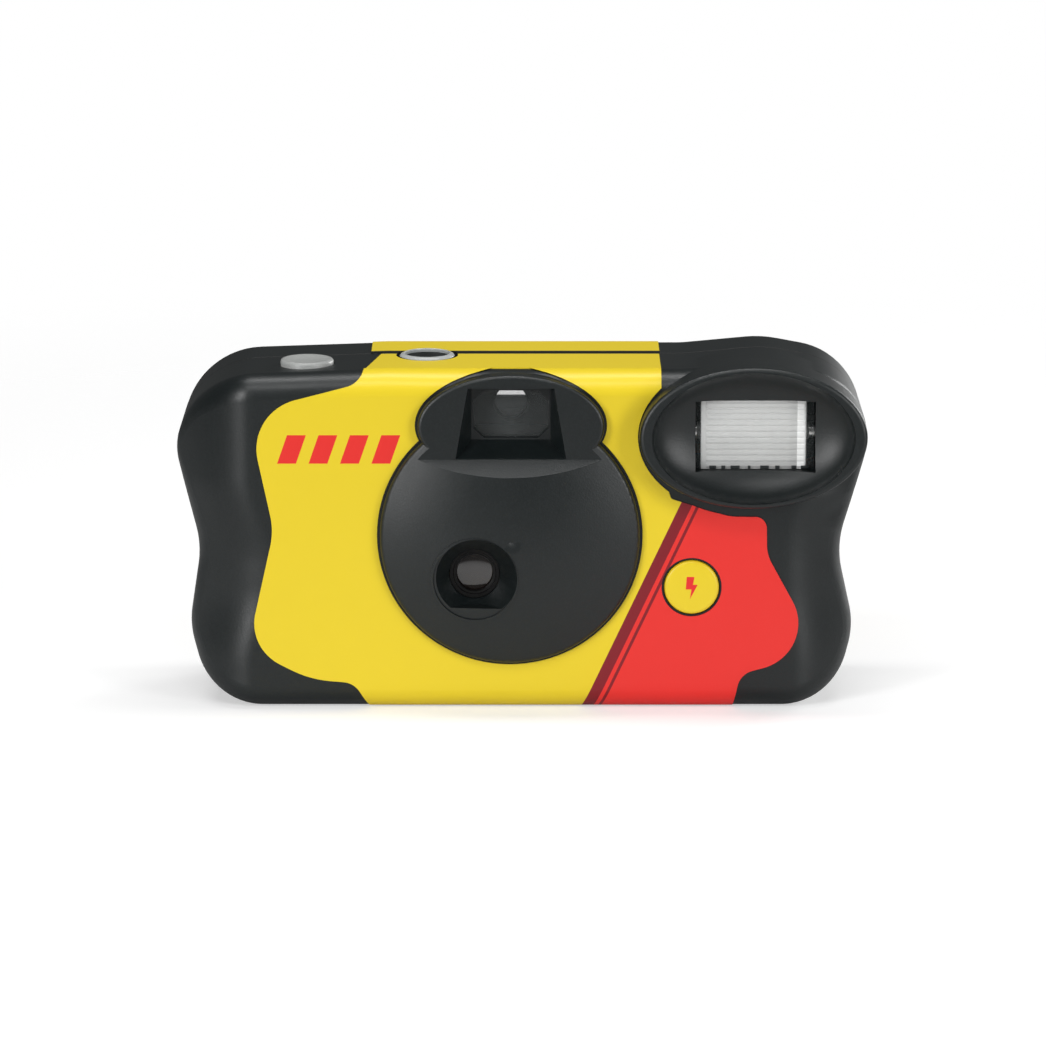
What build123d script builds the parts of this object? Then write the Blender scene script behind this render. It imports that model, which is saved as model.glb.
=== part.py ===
"""Disposable film camera with flash: casing, film path, shutter, viewfinder and flash unit.

Millimetres. +Z is up, the lens faces -Y and +X is to the right as one looks at the lens.
The origin is in the middle of the base.
"""
import os
from math import atan2, cos, degrees, pi, radians, sin, sqrt

from build123d import *

# Casing and the film cartridge that it is built around
wall = 1.4
cartridge_diameter = 25.0
cartridge_height = 42.6
cartridge_floor_play = 1.35
cartridge_side_play = 0.5
cartridge_pocket_fit = 0.15
cartridge_back_play = 0.3
cartridge_front_room = 2.9
picture_width = 36.0
picture_height = 24.0
chamber_gap = 0.95
lens_offset = 8.2
waist_inset = 5.65
wheel_gap = 1.6
wheel_thickness = 3.2
mechanism_room = 7.95
hub_rise = 5.5
wheel_proud = 0.9
rear_cover_depth = 13.3
running_fit = 0.1
loose_fit = 0.3
overrun = 2.0

half_width = (waist_inset + wall + cartridge_side_play + cartridge_diameter
              + chamber_gap + picture_width / 2 + lens_offset)
body_depth = wall + cartridge_front_room + cartridge_diameter + cartridge_back_play + wall
cartridge_base_z = wall + cartridge_floor_play
cartridge_top_z = cartridge_base_z + cartridge_height
wheel_base_z = cartridge_top_z + wheel_gap
wheel_top_z = wheel_base_z + wheel_thickness
inner_top_z = wheel_top_z + mechanism_room
body_height = inner_top_z + wall
middle_z = body_height / 2
front_y = hub_rise - (hub_rise + body_depth + wheel_proud) / 2
back_y = front_y + body_depth
inner_front_y = front_y + wall
inner_back_y = back_y - wall
seam_y = back_y - rear_cover_depth

# Outline of the casing from the front: x, z and rounding as shares of the half width,
# the height and the height; the last column is 1 at a bulge and -1 at a hollow
casing_outline_shares = (
    (-0.905, 0.0, 0.198, 1), (-0.970, 0.232, 0.235, 1), (-0.932, 0.475, 0.269, -1),
    (-1.0114, 0.762, 0.169, 1), (-0.925, 0.982, 0.240, 1), (-0.395, 1.0, 0.336, 1),
    (0.47, 1.0, 0.336, -1), (0.705, 1.022, 0.336, 1), (0.955, 0.975, 0.220, 1),
    (1.0115, 0.775, 0.201, 1), (0.913, 0.475, 0.269, -1), (0.968, 0.228, 0.235, 1),
    (0.905, 0.0, 0.198, 1))
grip_sweep_start = 46.0
grip_sweep_radius = 16.0
front_rounding = 4.0
rear_rounding = 3.5

# Round hub and viewfinder hood on the front
hub_shift = 6.1
hub_lift = 6.95
hub_radius = 22.4
hub_rim_rise = 1.5
hub_rim_rounding = 0.9
hood_shift = 6.3
hood_drop = 9.1
hood_half_width = 16.0
hood_half_height = 9.0
hood_rise = 2.0
hood_rounding = 0.6
facet_lift = 11.1
pocket_floor_drop = 14.7
pocket_roof_drop = 2.3
pocket_top_half_width = 7.4
pocket_bottom_half_width = 9.5
pocket_depth = 4.5
finder_window_half_width = 6.5
finder_window_height = 8.3
finder_window_drop = 7.65
finder_window_chamfer = 1.8
finder_sill = 0.3
pocket_back_wall = 1.1
lens_ring_radius = 7.1
lens_ring_width = 0.45
lens_ring_rise = 0.25
lens_mouth_radius = 4.4
lens_recess_depth = 5.3
lens_ledge_drop = 5.0
lens_boss_wall = 1.3
lens_boss_depth = 2.4

# Flash bezel, dish and window
flash_top_inset = 10.6
bezel_side_gap = 0.6
bezel_hub_overlap = 0.2
bezel_half_height = 12.3
bezel_rise = 4.5
bezel_rounding = 0.7
bezel_side_rim = 2.1
bezel_top_rim = 0.8
dish_depth = 5.5
dish_bowl_depth = 6.4
dish_step_shares = (0.0, 0.25, 0.5, 0.7, 0.85, 1.0)
flash_plug_depth = 3.0
barrel_depth = 12.0
flash_window_shift = 0.5
flash_window_drop = 0.45
flash_window_width = 20.6
flash_window_height = 12.3
flash_window_thickness = 1.2
window_fit = 0.1

# Labels
label_thickness = 0.2
label_hub_margin = 0.5
label_bezel_side_gap = 0.2
label_bezel_base_gap = 1.8
label_bezel_drop = 0.5
label_eyepiece_margin = 1.4
label_seam_gap = 0.25
label_base_clearance = 0.25
front_label_shares = (
    (-0.430, 1.06, 0.02), (-0.470, 0.967, 0.07), (-0.790, 0.886, 0.15), (-0.717, 0.535, 0.21),
    (-0.796, 0.184, 0.137), (-0.616, 0.0905, 0.30), (-0.487, 0.0795, 0.06), (-0.425, -0.03, 0.01),
    (0.606, -0.03, 0.01), (0.634, 0.107, 0.06), (0.868, 0.169, 0.138), (0.708, 0.464, 0.12),
    (0.706, 0.577, 0.035), (0.600, 0.577, 0.15), (0.430, 0.630, 0.01), (0.400, 0.720, 0.01),
    (0.400, 1.06, 0.02))
label_top_left_shares = (-0.450, -0.407)
rear_label_shares = (
    (-0.433, 1.06, 0.02), (-0.480, 0.70, 0.10), (-0.470, 0.10, 0.06), (0.62, 0.10, 0.08),
    (0.700, 0.45, 0.15), (0.56, 0.78, 0.12), (0.402, 0.92, 0.08), (0.402, 1.06, 0.02))

# Shutter button and frame counter in the top
button_side_inset = 22.5
button_setback = 10.6
button_surface_drop = 0.7
button_radius = 4.6
button_proud = 1.2
button_flange_rim = 0.8
button_flange_thickness = 0.8
button_stem_radius = 1.5
button_stem_shift = 1.5
button_fit = 0.15
button_spring_wire = 0.35
button_spring_turns = 2
counter_radius = 9.8
counter_thickness = 1.2
counter_side_inset = 39.4
counter_setback = 16.8
counter_pivot_radius = 1.5
counter_teeth = 24
counter_tooth_depth = 0.6
counter_window_shift_x = 3.8
counter_window_drop_y = 1.4
counter_window_radius = 4.8
counter_window_ledge = 0.6
counter_window_thickness = 0.8
counter_window_crown = 0.6
counter_crown_taper = 60.0
label_counter_margin = 0.6

# Thumbwheel and cartridge
wheel_grip_grooves = 48
wheel_groove_radius = 0.55
wheel_hub_radius = 7.4
wheel_hub_height = 2.2
ratchet_radius = 8.8
ratchet_teeth = 24
ratchet_tooth_depth = 0.8
ratchet_thickness = 1.3
wheel_pin_radius = 1.6
thumb_scoop_depth = 0.6
thumb_scoop_margin = 4.0
cartridge_skin = 0.5
cartridge_cap_thickness = 0.5
cartridge_cap_collar = 1.2
spool_core_radius = 5.3
spool_short_end_radius = 4.0
spool_long_end_length = 4.5
spool_flange_radius = 11.4
spool_flange_thickness = 0.8
spool_key_width = 1.6
lip_length = 6.6
lip_thickness = 2.4
lip_slot = 1.5
felt_thickness = 0.5
drive_fit = 0.15

# Film, gate and supply spool
film_width = 35.0
film_thickness = 0.2
film_back_room = 1.5
film_gap = 0.2
perforation_pitch = 4.75
perforation_length = 2.0
perforation_height = 2.8
perforation_margin = 2.0
roll_radius = 8.6
supply_core_radius = 5.0
supply_flange_radius = 9.6
supply_flange_thickness = 1.0
supply_pivot_radius = 2.0
supply_side_inset = 7.2
flange_gap = 0.4
film_roll_fit = 0.05

# Inner frame
frame_skin = 1.2
gate_plate_thickness = 1.2
gate_plate_margin = 2.2
tunnel_mouth_half = 4.2
shutter_wall_setback = 5.1
shutter_wall_left = 14.2
shutter_wall_right = 12.6
shutter_wall_floor = 6.3
aperture_radius = 2.4
base_plate_clearance = 1.4
deck_end_inset = 5.6
base_end_inset = 11.2
chamber_wall = 1.0
finder_wall = 1.1
finder_lens_thickness = 1.3
frame_post_radius = 1.3

# Sprocket, cam, levers and shutter
sprocket_offset = 10.4
sprocket_radius = 6.05
sprocket_tip_radius = 6.9
sprocket_teeth = 8
sprocket_tooth_width = 1.5
sprocket_thickness = 2.0
sprocket_shaft_radius = 1.9
sprocket_gap = 0.15
cam_radius = 4.4
cam_notch = 1.6
cam_thickness = 1.2
cam_lift = 1.3
plate_thickness = 0.8
plate_drop = 4.0
plate_left_reach = 23.6
blade_thickness = 0.5
blade_gap = 0.6
blade_pivot_dx = 8.3
blade_pivot_dz = 9.7
blade_disc_radius = 3.6
blade_arm_width = 2.6
blade_tail_dx = 3.0
blade_tail_dz = 14.6
blade_tail_width = 1.8
blade_pin_radius = 0.9
lever_thickness = 1.4
lever_width = 2.2
lever_pin_radius = 1.0
striker_pivot_dx = 14.6
striker_pivot_dy = 2.9
striker_tip_dx = 0.9
striker_tip_dy = 3.7
striker_tail_dx = 1.0
striker_tail_dy = 6.6
striker_lift = 1.1
metering_pivot_dx = 12.9
metering_pivot_dy = 5.9
metering_nose_angle = 20.0
metering_nose_gap = 0.4
spring_wire = 0.3
spring_coil_radius = 1.9
spring_turns = 3
spring_pitch = 0.6
spring_stack = 2.4
sprocket_turn = 22.5
contact_strip_gap = 0.3
contact_strip_width = 0.9
contact_strip_thickness = 0.3
contact_strip_length = 8.0

# Lens
lens_radius = 3.9
lens_thickness = 1.5
lens_bulge = 0.5
lens_mount_radius = 8.0
lens_mount_thickness = 2.4
lens_mount_leg_radius = 1.1
lens_mount_leg_share = 0.82
lens_mount_leg_turns = (-60.0, 15.0, 90.0)
lens_stop_radius = 2.9
retainer_thickness = 0.5
retainer_inner_radius = 3.5

# Battery and its contacts
battery_diameter = 14.5
battery_length = 49.5
battery_terminal_radius = 2.75
battery_terminal_length = 1.0
battery_wall_gap = 0.25
battery_left_gap = 1.3
battery_rounding = 0.4
contact_thickness = 0.4
contact_width = 9.0
contact_spring_radius = 3.4

# Flash unit
board_thickness = 1.2
board_gap = 3.5
board_boss_radius = 2.0
board_boss_inset = 3.0
board_left_reach = 21.0
board_side_inset = 6.8
board_floor_z = 17.5
board_height = 22.0
capacitor_radius = 6.25
capacitor_length = 27.0
capacitor_gap = 1.2
capacitor_deck_gap = 0.4
capacitor_y_share = 0.57
transformer_width = 5.6
transformer_depth = 6.6
transformer_height = 9.0
transformer_lift = 3.0
transformer_gap = 0.6
trigger_radius = 2.4
trigger_height = 6.5
chip_place_shares = ((0.20, 0.30, 0.09, 0.16), (0.70, 0.68, 0.07, 0.14), (0.84, 0.25, 0.10, 0.12))
chip_depth = 0.9
reflector_width = 18.6
reflector_height = 11.2
reflector_shift = 0.3
reflector_depth = 5.8
reflector_skin = 0.6
reflector_gap = 0.15
tube_setback = 2.8
tube_radius = 1.6
tube_overhang = 0.4
tube_cap_length = 0.9
lamp_radius = 2.2
lamp_length = 7.0
lamp_offset = 14.2
ready_window_radius = 1.8
flash_button_radius = 4.7
flash_button_proud = 0.6
flash_button_fit = 0.2
flash_button_flange_rim = 0.9
flash_button_flange_thickness = 0.8
flash_button_stem_radius = 1.2
flash_button_stem_length = 0.9
flash_button_share = 0.4115
flash_button_drop = 2.2
switch_blade_thickness = 0.2
switch_blade_length = 9.0
switch_blade_width = 2.4
switch_blade_lift = 0.6
eyepiece_half_width = 2.7
eyepiece_half_height = 2.4
eyepiece_thickness = 1.6
eyepiece_fit = 0.1
finder_partition_setback = 10.0
finder_partition_thickness = 1.4
finder_rear_lens_radius = 3.1
finder_rear_lens_thickness = 1.5
finder_rear_lens_seat = 0.7
finder_rear_lens_ledge = 0.4
pad_thickness = 1.2
snap_width = 6.0
snap_length = 3.6
snap_thickness = 1.0
snap_fit = 0.15
snap_place_shares = (0.17, 0.36)

# Places that several pieces share
cartridge_radius = cartridge_diameter / 2
cartridge_x = -(half_width - waist_inset - wall - cartridge_side_play - cartridge_radius)
cartridge_y = inner_back_y - cartridge_back_play - cartridge_radius
wheel_radius = back_y + wheel_proud - cartridge_y
lens_x = -lens_offset
lens_z = cartridge_base_z + cartridge_height / 2
hub_x = lens_x + hub_shift
hub_z = lens_z + hub_lift
hood_x = lens_x + hood_shift
hood_z = body_height - hood_drop
finder_x = hood_x
finder_z = body_height - finder_window_drop
pocket_floor_z = body_height - pocket_floor_drop
pocket_roof_z = body_height - pocket_roof_drop
hood_y = front_y - hood_rise
pocket_back_y = hood_y + pocket_depth
finder_lens_y = pocket_back_y + pocket_back_wall
finder_partition_y = finder_lens_y + finder_partition_setback
bezel_left_x = hub_x + hub_radius - bezel_hub_overlap
bezel_right_x = half_width - bezel_side_gap
bezel_half_width = (bezel_right_x - bezel_left_x) / 2
dish_half_width = bezel_half_width - bezel_side_rim
dish_half_height = bezel_half_height - bezel_top_rim
flash_x = (bezel_left_x + bezel_right_x) / 2
flash_z = body_height - flash_top_inset
bezel_y = front_y - bezel_rise
dish_floor_y = bezel_y + dish_depth
flash_plug_y = front_y + flash_plug_depth
flash_window_x = flash_x + flash_window_shift
flash_window_z = flash_z - flash_window_drop
flash_window_back_y = dish_floor_y + window_fit + flash_window_thickness
film_y = inner_back_y - film_back_room
film_base_z = lens_z - film_width / 2
film_top_z = lens_z + film_width / 2
gate_y = film_y - film_thickness / 2 - film_gap
gate_left_x = lens_x - picture_width / 2
gate_right_x = lens_x + picture_width / 2
supply_x = half_width - supply_side_inset - supply_flange_radius
supply_y = film_y - film_thickness / 2 - loose_fit - roll_radius
deck_z = cartridge_top_z
deck_top_z = deck_z + frame_skin
deck_right_x = half_width - deck_end_inset
deck_back_y = gate_y - gate_plate_thickness
left_wall_x = cartridge_x + cartridge_radius + loose_fit
shutter_wall_y = inner_front_y + shutter_wall_setback
base_plate_z = wall + base_plate_clearance
sprocket_x = lens_x - sprocket_offset
sprocket_y = film_y - film_thickness / 2 - sprocket_gap - sprocket_tip_radius
sprocket_z = film_top_z - perforation_margin - perforation_height / 2
plate_z = inner_top_z - plate_drop
plate_top_z = plate_z + plate_thickness
counter_x = -(half_width - counter_side_inset)
counter_y = front_y + counter_setback
counter_z = inner_top_z - counter_thickness * 2
counter_window_x = counter_x + counter_window_shift_x
counter_window_y = counter_y - counter_window_drop_y
button_x = -(half_width - button_side_inset)
button_surface_z = body_height - button_surface_drop
button_y = front_y + button_setback
stem_x = button_x + button_stem_shift
flash_button_z = lens_z - flash_button_drop
blade_y = shutter_wall_y - blade_gap - blade_thickness
blade_pivot_x = lens_x - blade_pivot_dx
blade_pivot_z = lens_z + blade_pivot_dz
lens_mount_y = blade_y - blade_gap
lens_mount_front_y = lens_mount_y - lens_mount_thickness
striker_x = lens_x - striker_pivot_dx
striker_y = shutter_wall_y + striker_pivot_dy
striker_z = deck_top_z + striker_lift
metering_x = cartridge_x + metering_pivot_dx
metering_y = cartridge_y + metering_pivot_dy
ratchet_z = wheel_top_z
wheel_hub_top_z = wheel_top_z + wheel_hub_height
metering_z = ratchet_z + loose_fit
board_y = inner_front_y + board_gap
board_left_x = lens_x + board_left_reach
board_right_x = half_width - board_side_inset
flash_button_x = board_left_x + (board_right_x - board_left_x) * flash_button_share
battery_radius = battery_diameter / 2
battery_y = inner_front_y + battery_wall_gap + battery_radius
battery_z = wall + battery_wall_gap + battery_radius
battery_left_x = left_wall_x + chamber_wall + battery_left_gap
battery_right_x = battery_left_x + battery_length
capacitor_x = gate_right_x + gate_plate_margin + capacitor_gap + capacitor_radius
capacitor_y = board_y + (film_y - board_y) * capacitor_y_share
capacitor_top_z = deck_z - capacitor_deck_gap
supply_wall_x = supply_x - supply_flange_radius - flange_gap - chamber_wall
ready_x = finder_x + lamp_offset
lamp_z = finder_z
reflector_x = flash_window_x - reflector_shift
reflector_front_y = flash_window_back_y + reflector_gap
reflector_back_y = reflector_front_y + reflector_depth
tube_y = reflector_front_y + tube_setback
plate_left_x = counter_x - plate_left_reach
plate_right_x = finder_x - finder_window_half_width - finder_wall - loose_fit
finder_floor_z = finder_z - finder_window_height / 2
finder_roof_z = finder_z + finder_window_height / 2

front = Plane.XZ
made = []


def keep(builder, label):
    """Give a finished piece its name and put it with the others."""
    builder.part.label = label
    made.append(builder.part)


def block(x_range, y_range, z_range, mode=Mode.ADD):
    """Box between two values on each axis."""
    middle = [(low + high) / 2 for low, high in (x_range, y_range, z_range)]
    size = [high - low for low, high in (x_range, y_range, z_range)]
    with Locations(tuple(middle)):
        Box(*size, mode=mode)


def post(x, y, z_range, radius, mode=Mode.ADD):
    """Upright cylinder."""
    with BuildSketch(Plane.XY.offset(z_range[0])) as end:
        with Locations((x, y)):
            Circle(radius)
    extrude(end.sketch, amount=z_range[1] - z_range[0], mode=mode)


def spindle(x, z, y_range, radius, mode=Mode.ADD):
    """Cylinder that points to the front, between two depths."""
    with BuildSketch(front.offset(-y_range[1])) as end:
        with Locations((x, z)):
            Circle(radius)
    extrude(end.sketch, amount=y_range[1] - y_range[0], mode=mode)


def bar(y, z, x_range, radius, mode=Mode.ADD):
    """Cylinder that lies across the camera."""
    with BuildSketch(Plane.YZ.offset(x_range[0])) as end:
        with Locations((y, z)):
            Circle(radius)
    extrude(end.sketch, amount=x_range[1] - x_range[0], mode=mode)


def rounded_face(shares, grow=0.0):
    """Closed outline with rounded corners, from a table of shares, as a face."""
    wide = half_width + grow
    high = middle_z + grow
    points = [(row[0] * wide, middle_z + (2 * row[1] - 1) * high) for row in shares]
    radii = [row[2] * body_height + (row[3] * grow if len(row) > 3 else 0) for row in shares]
    with BuildLine() as outline:
        FilletPolyline(*points, radius=radii, close=True)
    make_face(outline.edges())


def casing(grow):
    """Whole rounded casing as one solid, larger by grow on every side."""
    with BuildPart() as body:
        with BuildSketch(front.offset(-(back_y + grow))):
            rounded_face(casing_outline_shares, grow)
        extrude(amount=body_depth + 2 * grow)
        with BuildSketch(Plane.XY.offset(-body_height)) as plan:
            with Locations((0, (front_y + back_y) / 2)):
                Rectangle(2 * (grip_sweep_start + grip_sweep_radius + grow), body_depth + 2 * grow)
            fillet(plan.vertices().group_by(Axis.Y)[0], grip_sweep_radius + grow)
        extrude(amount=3 * body_height, mode=Mode.INTERSECT)
        rims = body.edges().filter_by(Axis.Y, reverse=True).filter_by(Axis.Z, reverse=True)
        fillet([rim for rim in rims if rim.center().Y < seam_y], front_rounding + grow)
        rims = body.edges().filter_by(Axis.Y, reverse=True).filter_by(Axis.Z, reverse=True)
        fillet(rims.group_by(Axis.Y)[-1], rear_rounding + grow)
    return body.part


casing_solid = casing(0)
casing_hollow = casing(-wall)
casing_label = casing(label_thickness)
dome_radius = ((hub_radius ** 2 + (hub_rise - hub_rim_rise) ** 2)
               / (2 * (hub_rise - hub_rim_rise)))


def dome_height(distance):
    """Rise of the hub above the front face at a distance from its centre."""
    return hub_rise - dome_radius + sqrt(dome_radius ** 2 - distance ** 2)


lens_recess_y = front_y - dome_height(sqrt(hub_shift ** 2 + hub_lift ** 2))
lens_mouth_y = lens_recess_y + lens_recess_depth
lens_boss_y = front_y + lens_boss_depth


def hub_dome(radius, back, rounding, grow=0.0):
    """Domed disc of the hub, from back to its curved front, raised by grow."""
    rim_y = front_y - dome_height(radius) - grow
    top_y = front_y - hub_rise - grow
    middle = radius / 2
    middle_y = front_y - dome_height(middle) - grow
    with BuildSketch(Plane((hub_x, 0, hub_z), x_dir=(1, 0, 0), z_dir=(0, 0, 1))) as profile:
        with BuildLine():
            Line((0, back), (0, top_y))
            ThreePointArc((0, top_y), (middle, middle_y), (radius, rim_y))
            Polyline((radius, rim_y), (radius, back), (0, back))
        make_face()
        if rounding:
            fillet(profile.vertices().group_by(Axis.X)[-1].sort_by(Axis.Y)[0], rounding)
    revolve(profile.sketch, axis=Axis((hub_x, 0, hub_z), (0, 1, 0)))


def hub_solid():
    """Hub with its rounded rim and the slanting facet cut for the viewfinder."""
    facet_y = front_y - dome_height(facet_lift)
    facet_z = hub_z + facet_lift
    slope = (pocket_floor_z - facet_z) / (hood_y - facet_y)
    tip_y = facet_y - hub_rise
    tip_z = facet_z - slope * hub_rise
    with BuildPart() as hub:
        hub_dome(hub_radius, inner_front_y, hub_rim_rounding)
        with BuildSketch(Plane.YZ.offset(hub_x - hub_radius - overrun)):
            with BuildLine():
                Polyline((tip_y, tip_z), (hood_y, pocket_floor_z), (hood_y, body_height),
                         (tip_y, body_height), (tip_y, tip_z))
            make_face()
        extrude(amount=2 * (hub_radius + overrun), mode=Mode.SUBTRACT)
    return hub.part


def hub_hollow():
    """Space inside the hub, clear of the lens boss and the viewfinder pocket."""
    with BuildPart() as hollow:
        hub_dome(hub_radius - wall, inner_front_y, 0, -wall)
        spindle(lens_x, lens_z, (front_y - hub_rise, inner_front_y),
                lens_ring_radius + lens_boss_wall, mode=Mode.SUBTRACT)
        block((hub_x - hub_radius, hub_x + hub_radius), (front_y - hub_rise, inner_front_y),
              (pocket_floor_z - 2 * wall, body_height), mode=Mode.SUBTRACT)
    return hollow.part


def cartridge_pocket():
    """Room for the cartridge where it comes close to the rounded corner of the casing."""
    post(cartridge_x, cartridge_y, (cartridge_base_z - cartridge_pocket_fit, cartridge_top_z),
         cartridge_radius + cartridge_pocket_fit, mode=Mode.SUBTRACT)


def hood_solid():
    """Flat-faced hood round the viewfinder, an oval with a rounded edge."""
    with BuildPart() as hood:
        with BuildSketch(front.offset(-inner_front_y)):
            with Locations((hood_x, hood_z)):
                Ellipse(hood_half_width, hood_half_height)
        extrude(amount=wall + hood_rise)
        fillet(hood.faces().sort_by(Axis.Y)[0].edges(), hood_rounding)
    return hood.part


def bezel_solid():
    """Oval barrel that carries the flash dish and runs back into the swept corner."""
    with BuildPart() as bezel:
        for depth, hollowed in ((barrel_depth, True), (flash_plug_depth, False)):
            with BuildSketch(front.offset(-(front_y + depth))):
                with Locations((flash_x, flash_z)):
                    Ellipse(bezel_half_width, bezel_half_height)
            extrude(amount=depth + bezel_rise)
            if hollowed:
                add(casing_hollow, mode=Mode.SUBTRACT)
        fillet(bezel.faces().sort_by(Axis.Y)[0].edges(), bezel_rounding)
    return bezel.part


def dish_solid():
    """Bowl of the flash dish, to be cut out of the bezel."""
    with BuildPart() as dish:
        for share in dish_step_shares:
            shrink = sqrt(1 - (share * dish_depth / dish_bowl_depth) ** 2)
            with BuildSketch(front.offset(-(bezel_y + share * dish_depth))):
                with Locations((flash_x, flash_z)):
                    Ellipse(dish_half_width * shrink, dish_half_height * shrink)
        loft()
        with BuildSketch(front.offset(-bezel_y)):
            with Locations((flash_x, flash_z)):
                Ellipse(dish_half_width, dish_half_height)
        extrude(amount=overrun)
    return dish.part


def lens_recess():
    """Cone that leads to the lens, with a flat ledge below, to be cut out of the hub."""
    flare = (lens_ring_radius - lens_mouth_radius) / lens_recess_depth
    reach = hub_rise / 2
    with BuildPart() as recess:
        with BuildSketch(front.offset(-lens_mouth_y)):
            with Locations((lens_x, lens_z)):
                Circle(lens_mouth_radius)
        with BuildSketch(front.offset(-(lens_recess_y - reach))):
            with Locations((lens_x, lens_z)):
                Circle(lens_ring_radius + flare * reach)
        loft()
        block((lens_x - 2 * lens_ring_radius, lens_x + 2 * lens_ring_radius),
              (lens_recess_y, lens_mouth_y + overrun),
              (lens_z - 2 * lens_ring_radius, lens_z - lens_ledge_drop), mode=Mode.SUBTRACT)
        spindle(lens_x, lens_z, (lens_mouth_y, lens_boss_y + overrun), lens_mouth_radius)
    return recess.part


def viewfinder_pocket():
    """Tapered pocket in the hood and the window hole at its back."""
    back_half = finder_window_half_width + finder_sill
    with BuildPart() as pocket:
        with BuildSketch(front.offset(-pocket_back_y)):
            with BuildLine():
                Polyline((finder_x - back_half, finder_floor_z - finder_sill),
                         (finder_x + back_half, finder_floor_z - finder_sill),
                         (finder_x + back_half, finder_roof_z + finder_sill),
                         (finder_x - back_half, finder_roof_z + finder_sill), close=True)
            make_face()
        with BuildSketch(front.offset(-hood_y)):
            with BuildLine():
                Polyline((finder_x - pocket_bottom_half_width, pocket_floor_z),
                         (finder_x + pocket_bottom_half_width, pocket_floor_z),
                         (finder_x + pocket_top_half_width, pocket_roof_z),
                         (finder_x - pocket_top_half_width, pocket_roof_z), close=True)
            make_face()
        loft(ruled=True)
        with BuildSketch(front.offset(-(finder_lens_y + overrun))) as hole:
            with Locations((finder_x, finder_z)):
                Rectangle(2 * finder_window_half_width, finder_window_height)
            chamfer(hole.vertices().group_by(Axis.Z)[0], finder_window_chamfer)
        extrude(amount=pocket_depth + overrun)
    return pocket.part


def make_front_cover():
    """Deep front half of the casing with hub, hood, flash bezel and all its holes."""
    with BuildPart() as cover:
        add(casing_solid)
        add(casing_hollow, mode=Mode.SUBTRACT)
        block((-2 * half_width, 2 * half_width), (seam_y, back_y + overrun),
              (-overrun, 2 * body_height), mode=Mode.SUBTRACT)
        add(hub_solid())
        add(hood_solid())
        add(bezel_solid())
        add(hub_hollow(), mode=Mode.SUBTRACT)
        spindle(lens_x, lens_z, (inner_front_y, lens_boss_y), lens_ring_radius + lens_boss_wall)
        block((finder_x - pocket_bottom_half_width - wall, finder_x + pocket_bottom_half_width + wall),
              (inner_front_y, finder_lens_y), (pocket_floor_z - wall, pocket_roof_z + finder_sill))
        add(lens_bead())
        add(dish_solid(), mode=Mode.SUBTRACT)
        add(lens_recess(), mode=Mode.SUBTRACT)
        add(viewfinder_pocket(), mode=Mode.SUBTRACT)
        block((flash_window_x - flash_window_width / 2, flash_window_x + flash_window_width / 2),
              (bezel_y, flash_plug_y + overrun),
              (flash_window_z - flash_window_height / 2, flash_window_z + flash_window_height / 2),
              mode=Mode.SUBTRACT)
        post(button_x, button_y, (inner_top_z - overrun, body_height + overrun),
             button_radius + button_fit, mode=Mode.SUBTRACT)
        spindle(flash_button_x, flash_button_z, (front_y - overrun, inner_front_y + overrun),
                flash_button_radius + flash_button_fit, mode=Mode.SUBTRACT)
        counter_window_hole()
        cartridge_pocket()
        for x in (hub_x + hub_radius, board_right_x - board_boss_inset):
            for z in (board_floor_z + board_boss_inset, board_floor_z + board_height - board_boss_inset):
                spindle(x, z, (inner_front_y, board_y), board_boss_radius)
    return cover


def lens_bead():
    """Thin raised ring on the hub round the lens recess."""
    with BuildPart() as bead:
        hub_dome(hub_radius, front_y, 0, lens_ring_rise)
        spindle(lens_x, lens_z, (front_y - 2 * hub_rise, inner_front_y),
                lens_ring_radius + lens_ring_width, mode=Mode.INTERSECT)
        spindle(lens_x, lens_z, (front_y - 2 * hub_rise, inner_front_y), lens_ring_radius,
                mode=Mode.SUBTRACT)
    return bead.part


def snap_tabs():
    """Tongues on the rear cover that reach under the roof and floor of the front cover."""
    for share in snap_place_shares:
        x = half_width * share
        for edge_z, inward in ((wall, 1), (inner_top_z, -1)):
            near = edge_z + inward * snap_fit
            far = near + inward * snap_thickness
            block((x - snap_width / 2, x + snap_width / 2), (seam_y - snap_length / 2, seam_y + snap_length),
                  (min(near, far), max(near, far)))
            block((x - snap_width / 2, x + snap_width / 2), (seam_y + snap_fit, seam_y + snap_length),
                  (min(edge_z, far), max(edge_z, far)))


def counter_window_hole():
    """Round hole and ledge for the counter window, across the seam of both covers."""
    post(counter_window_x, counter_window_y, (inner_top_z - overrun, body_height + overrun),
         counter_window_radius - counter_window_ledge, mode=Mode.SUBTRACT)
    post(counter_window_x, counter_window_y,
         (body_height - counter_window_thickness, body_height + overrun),
         counter_window_radius + window_fit, mode=Mode.SUBTRACT)


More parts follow.
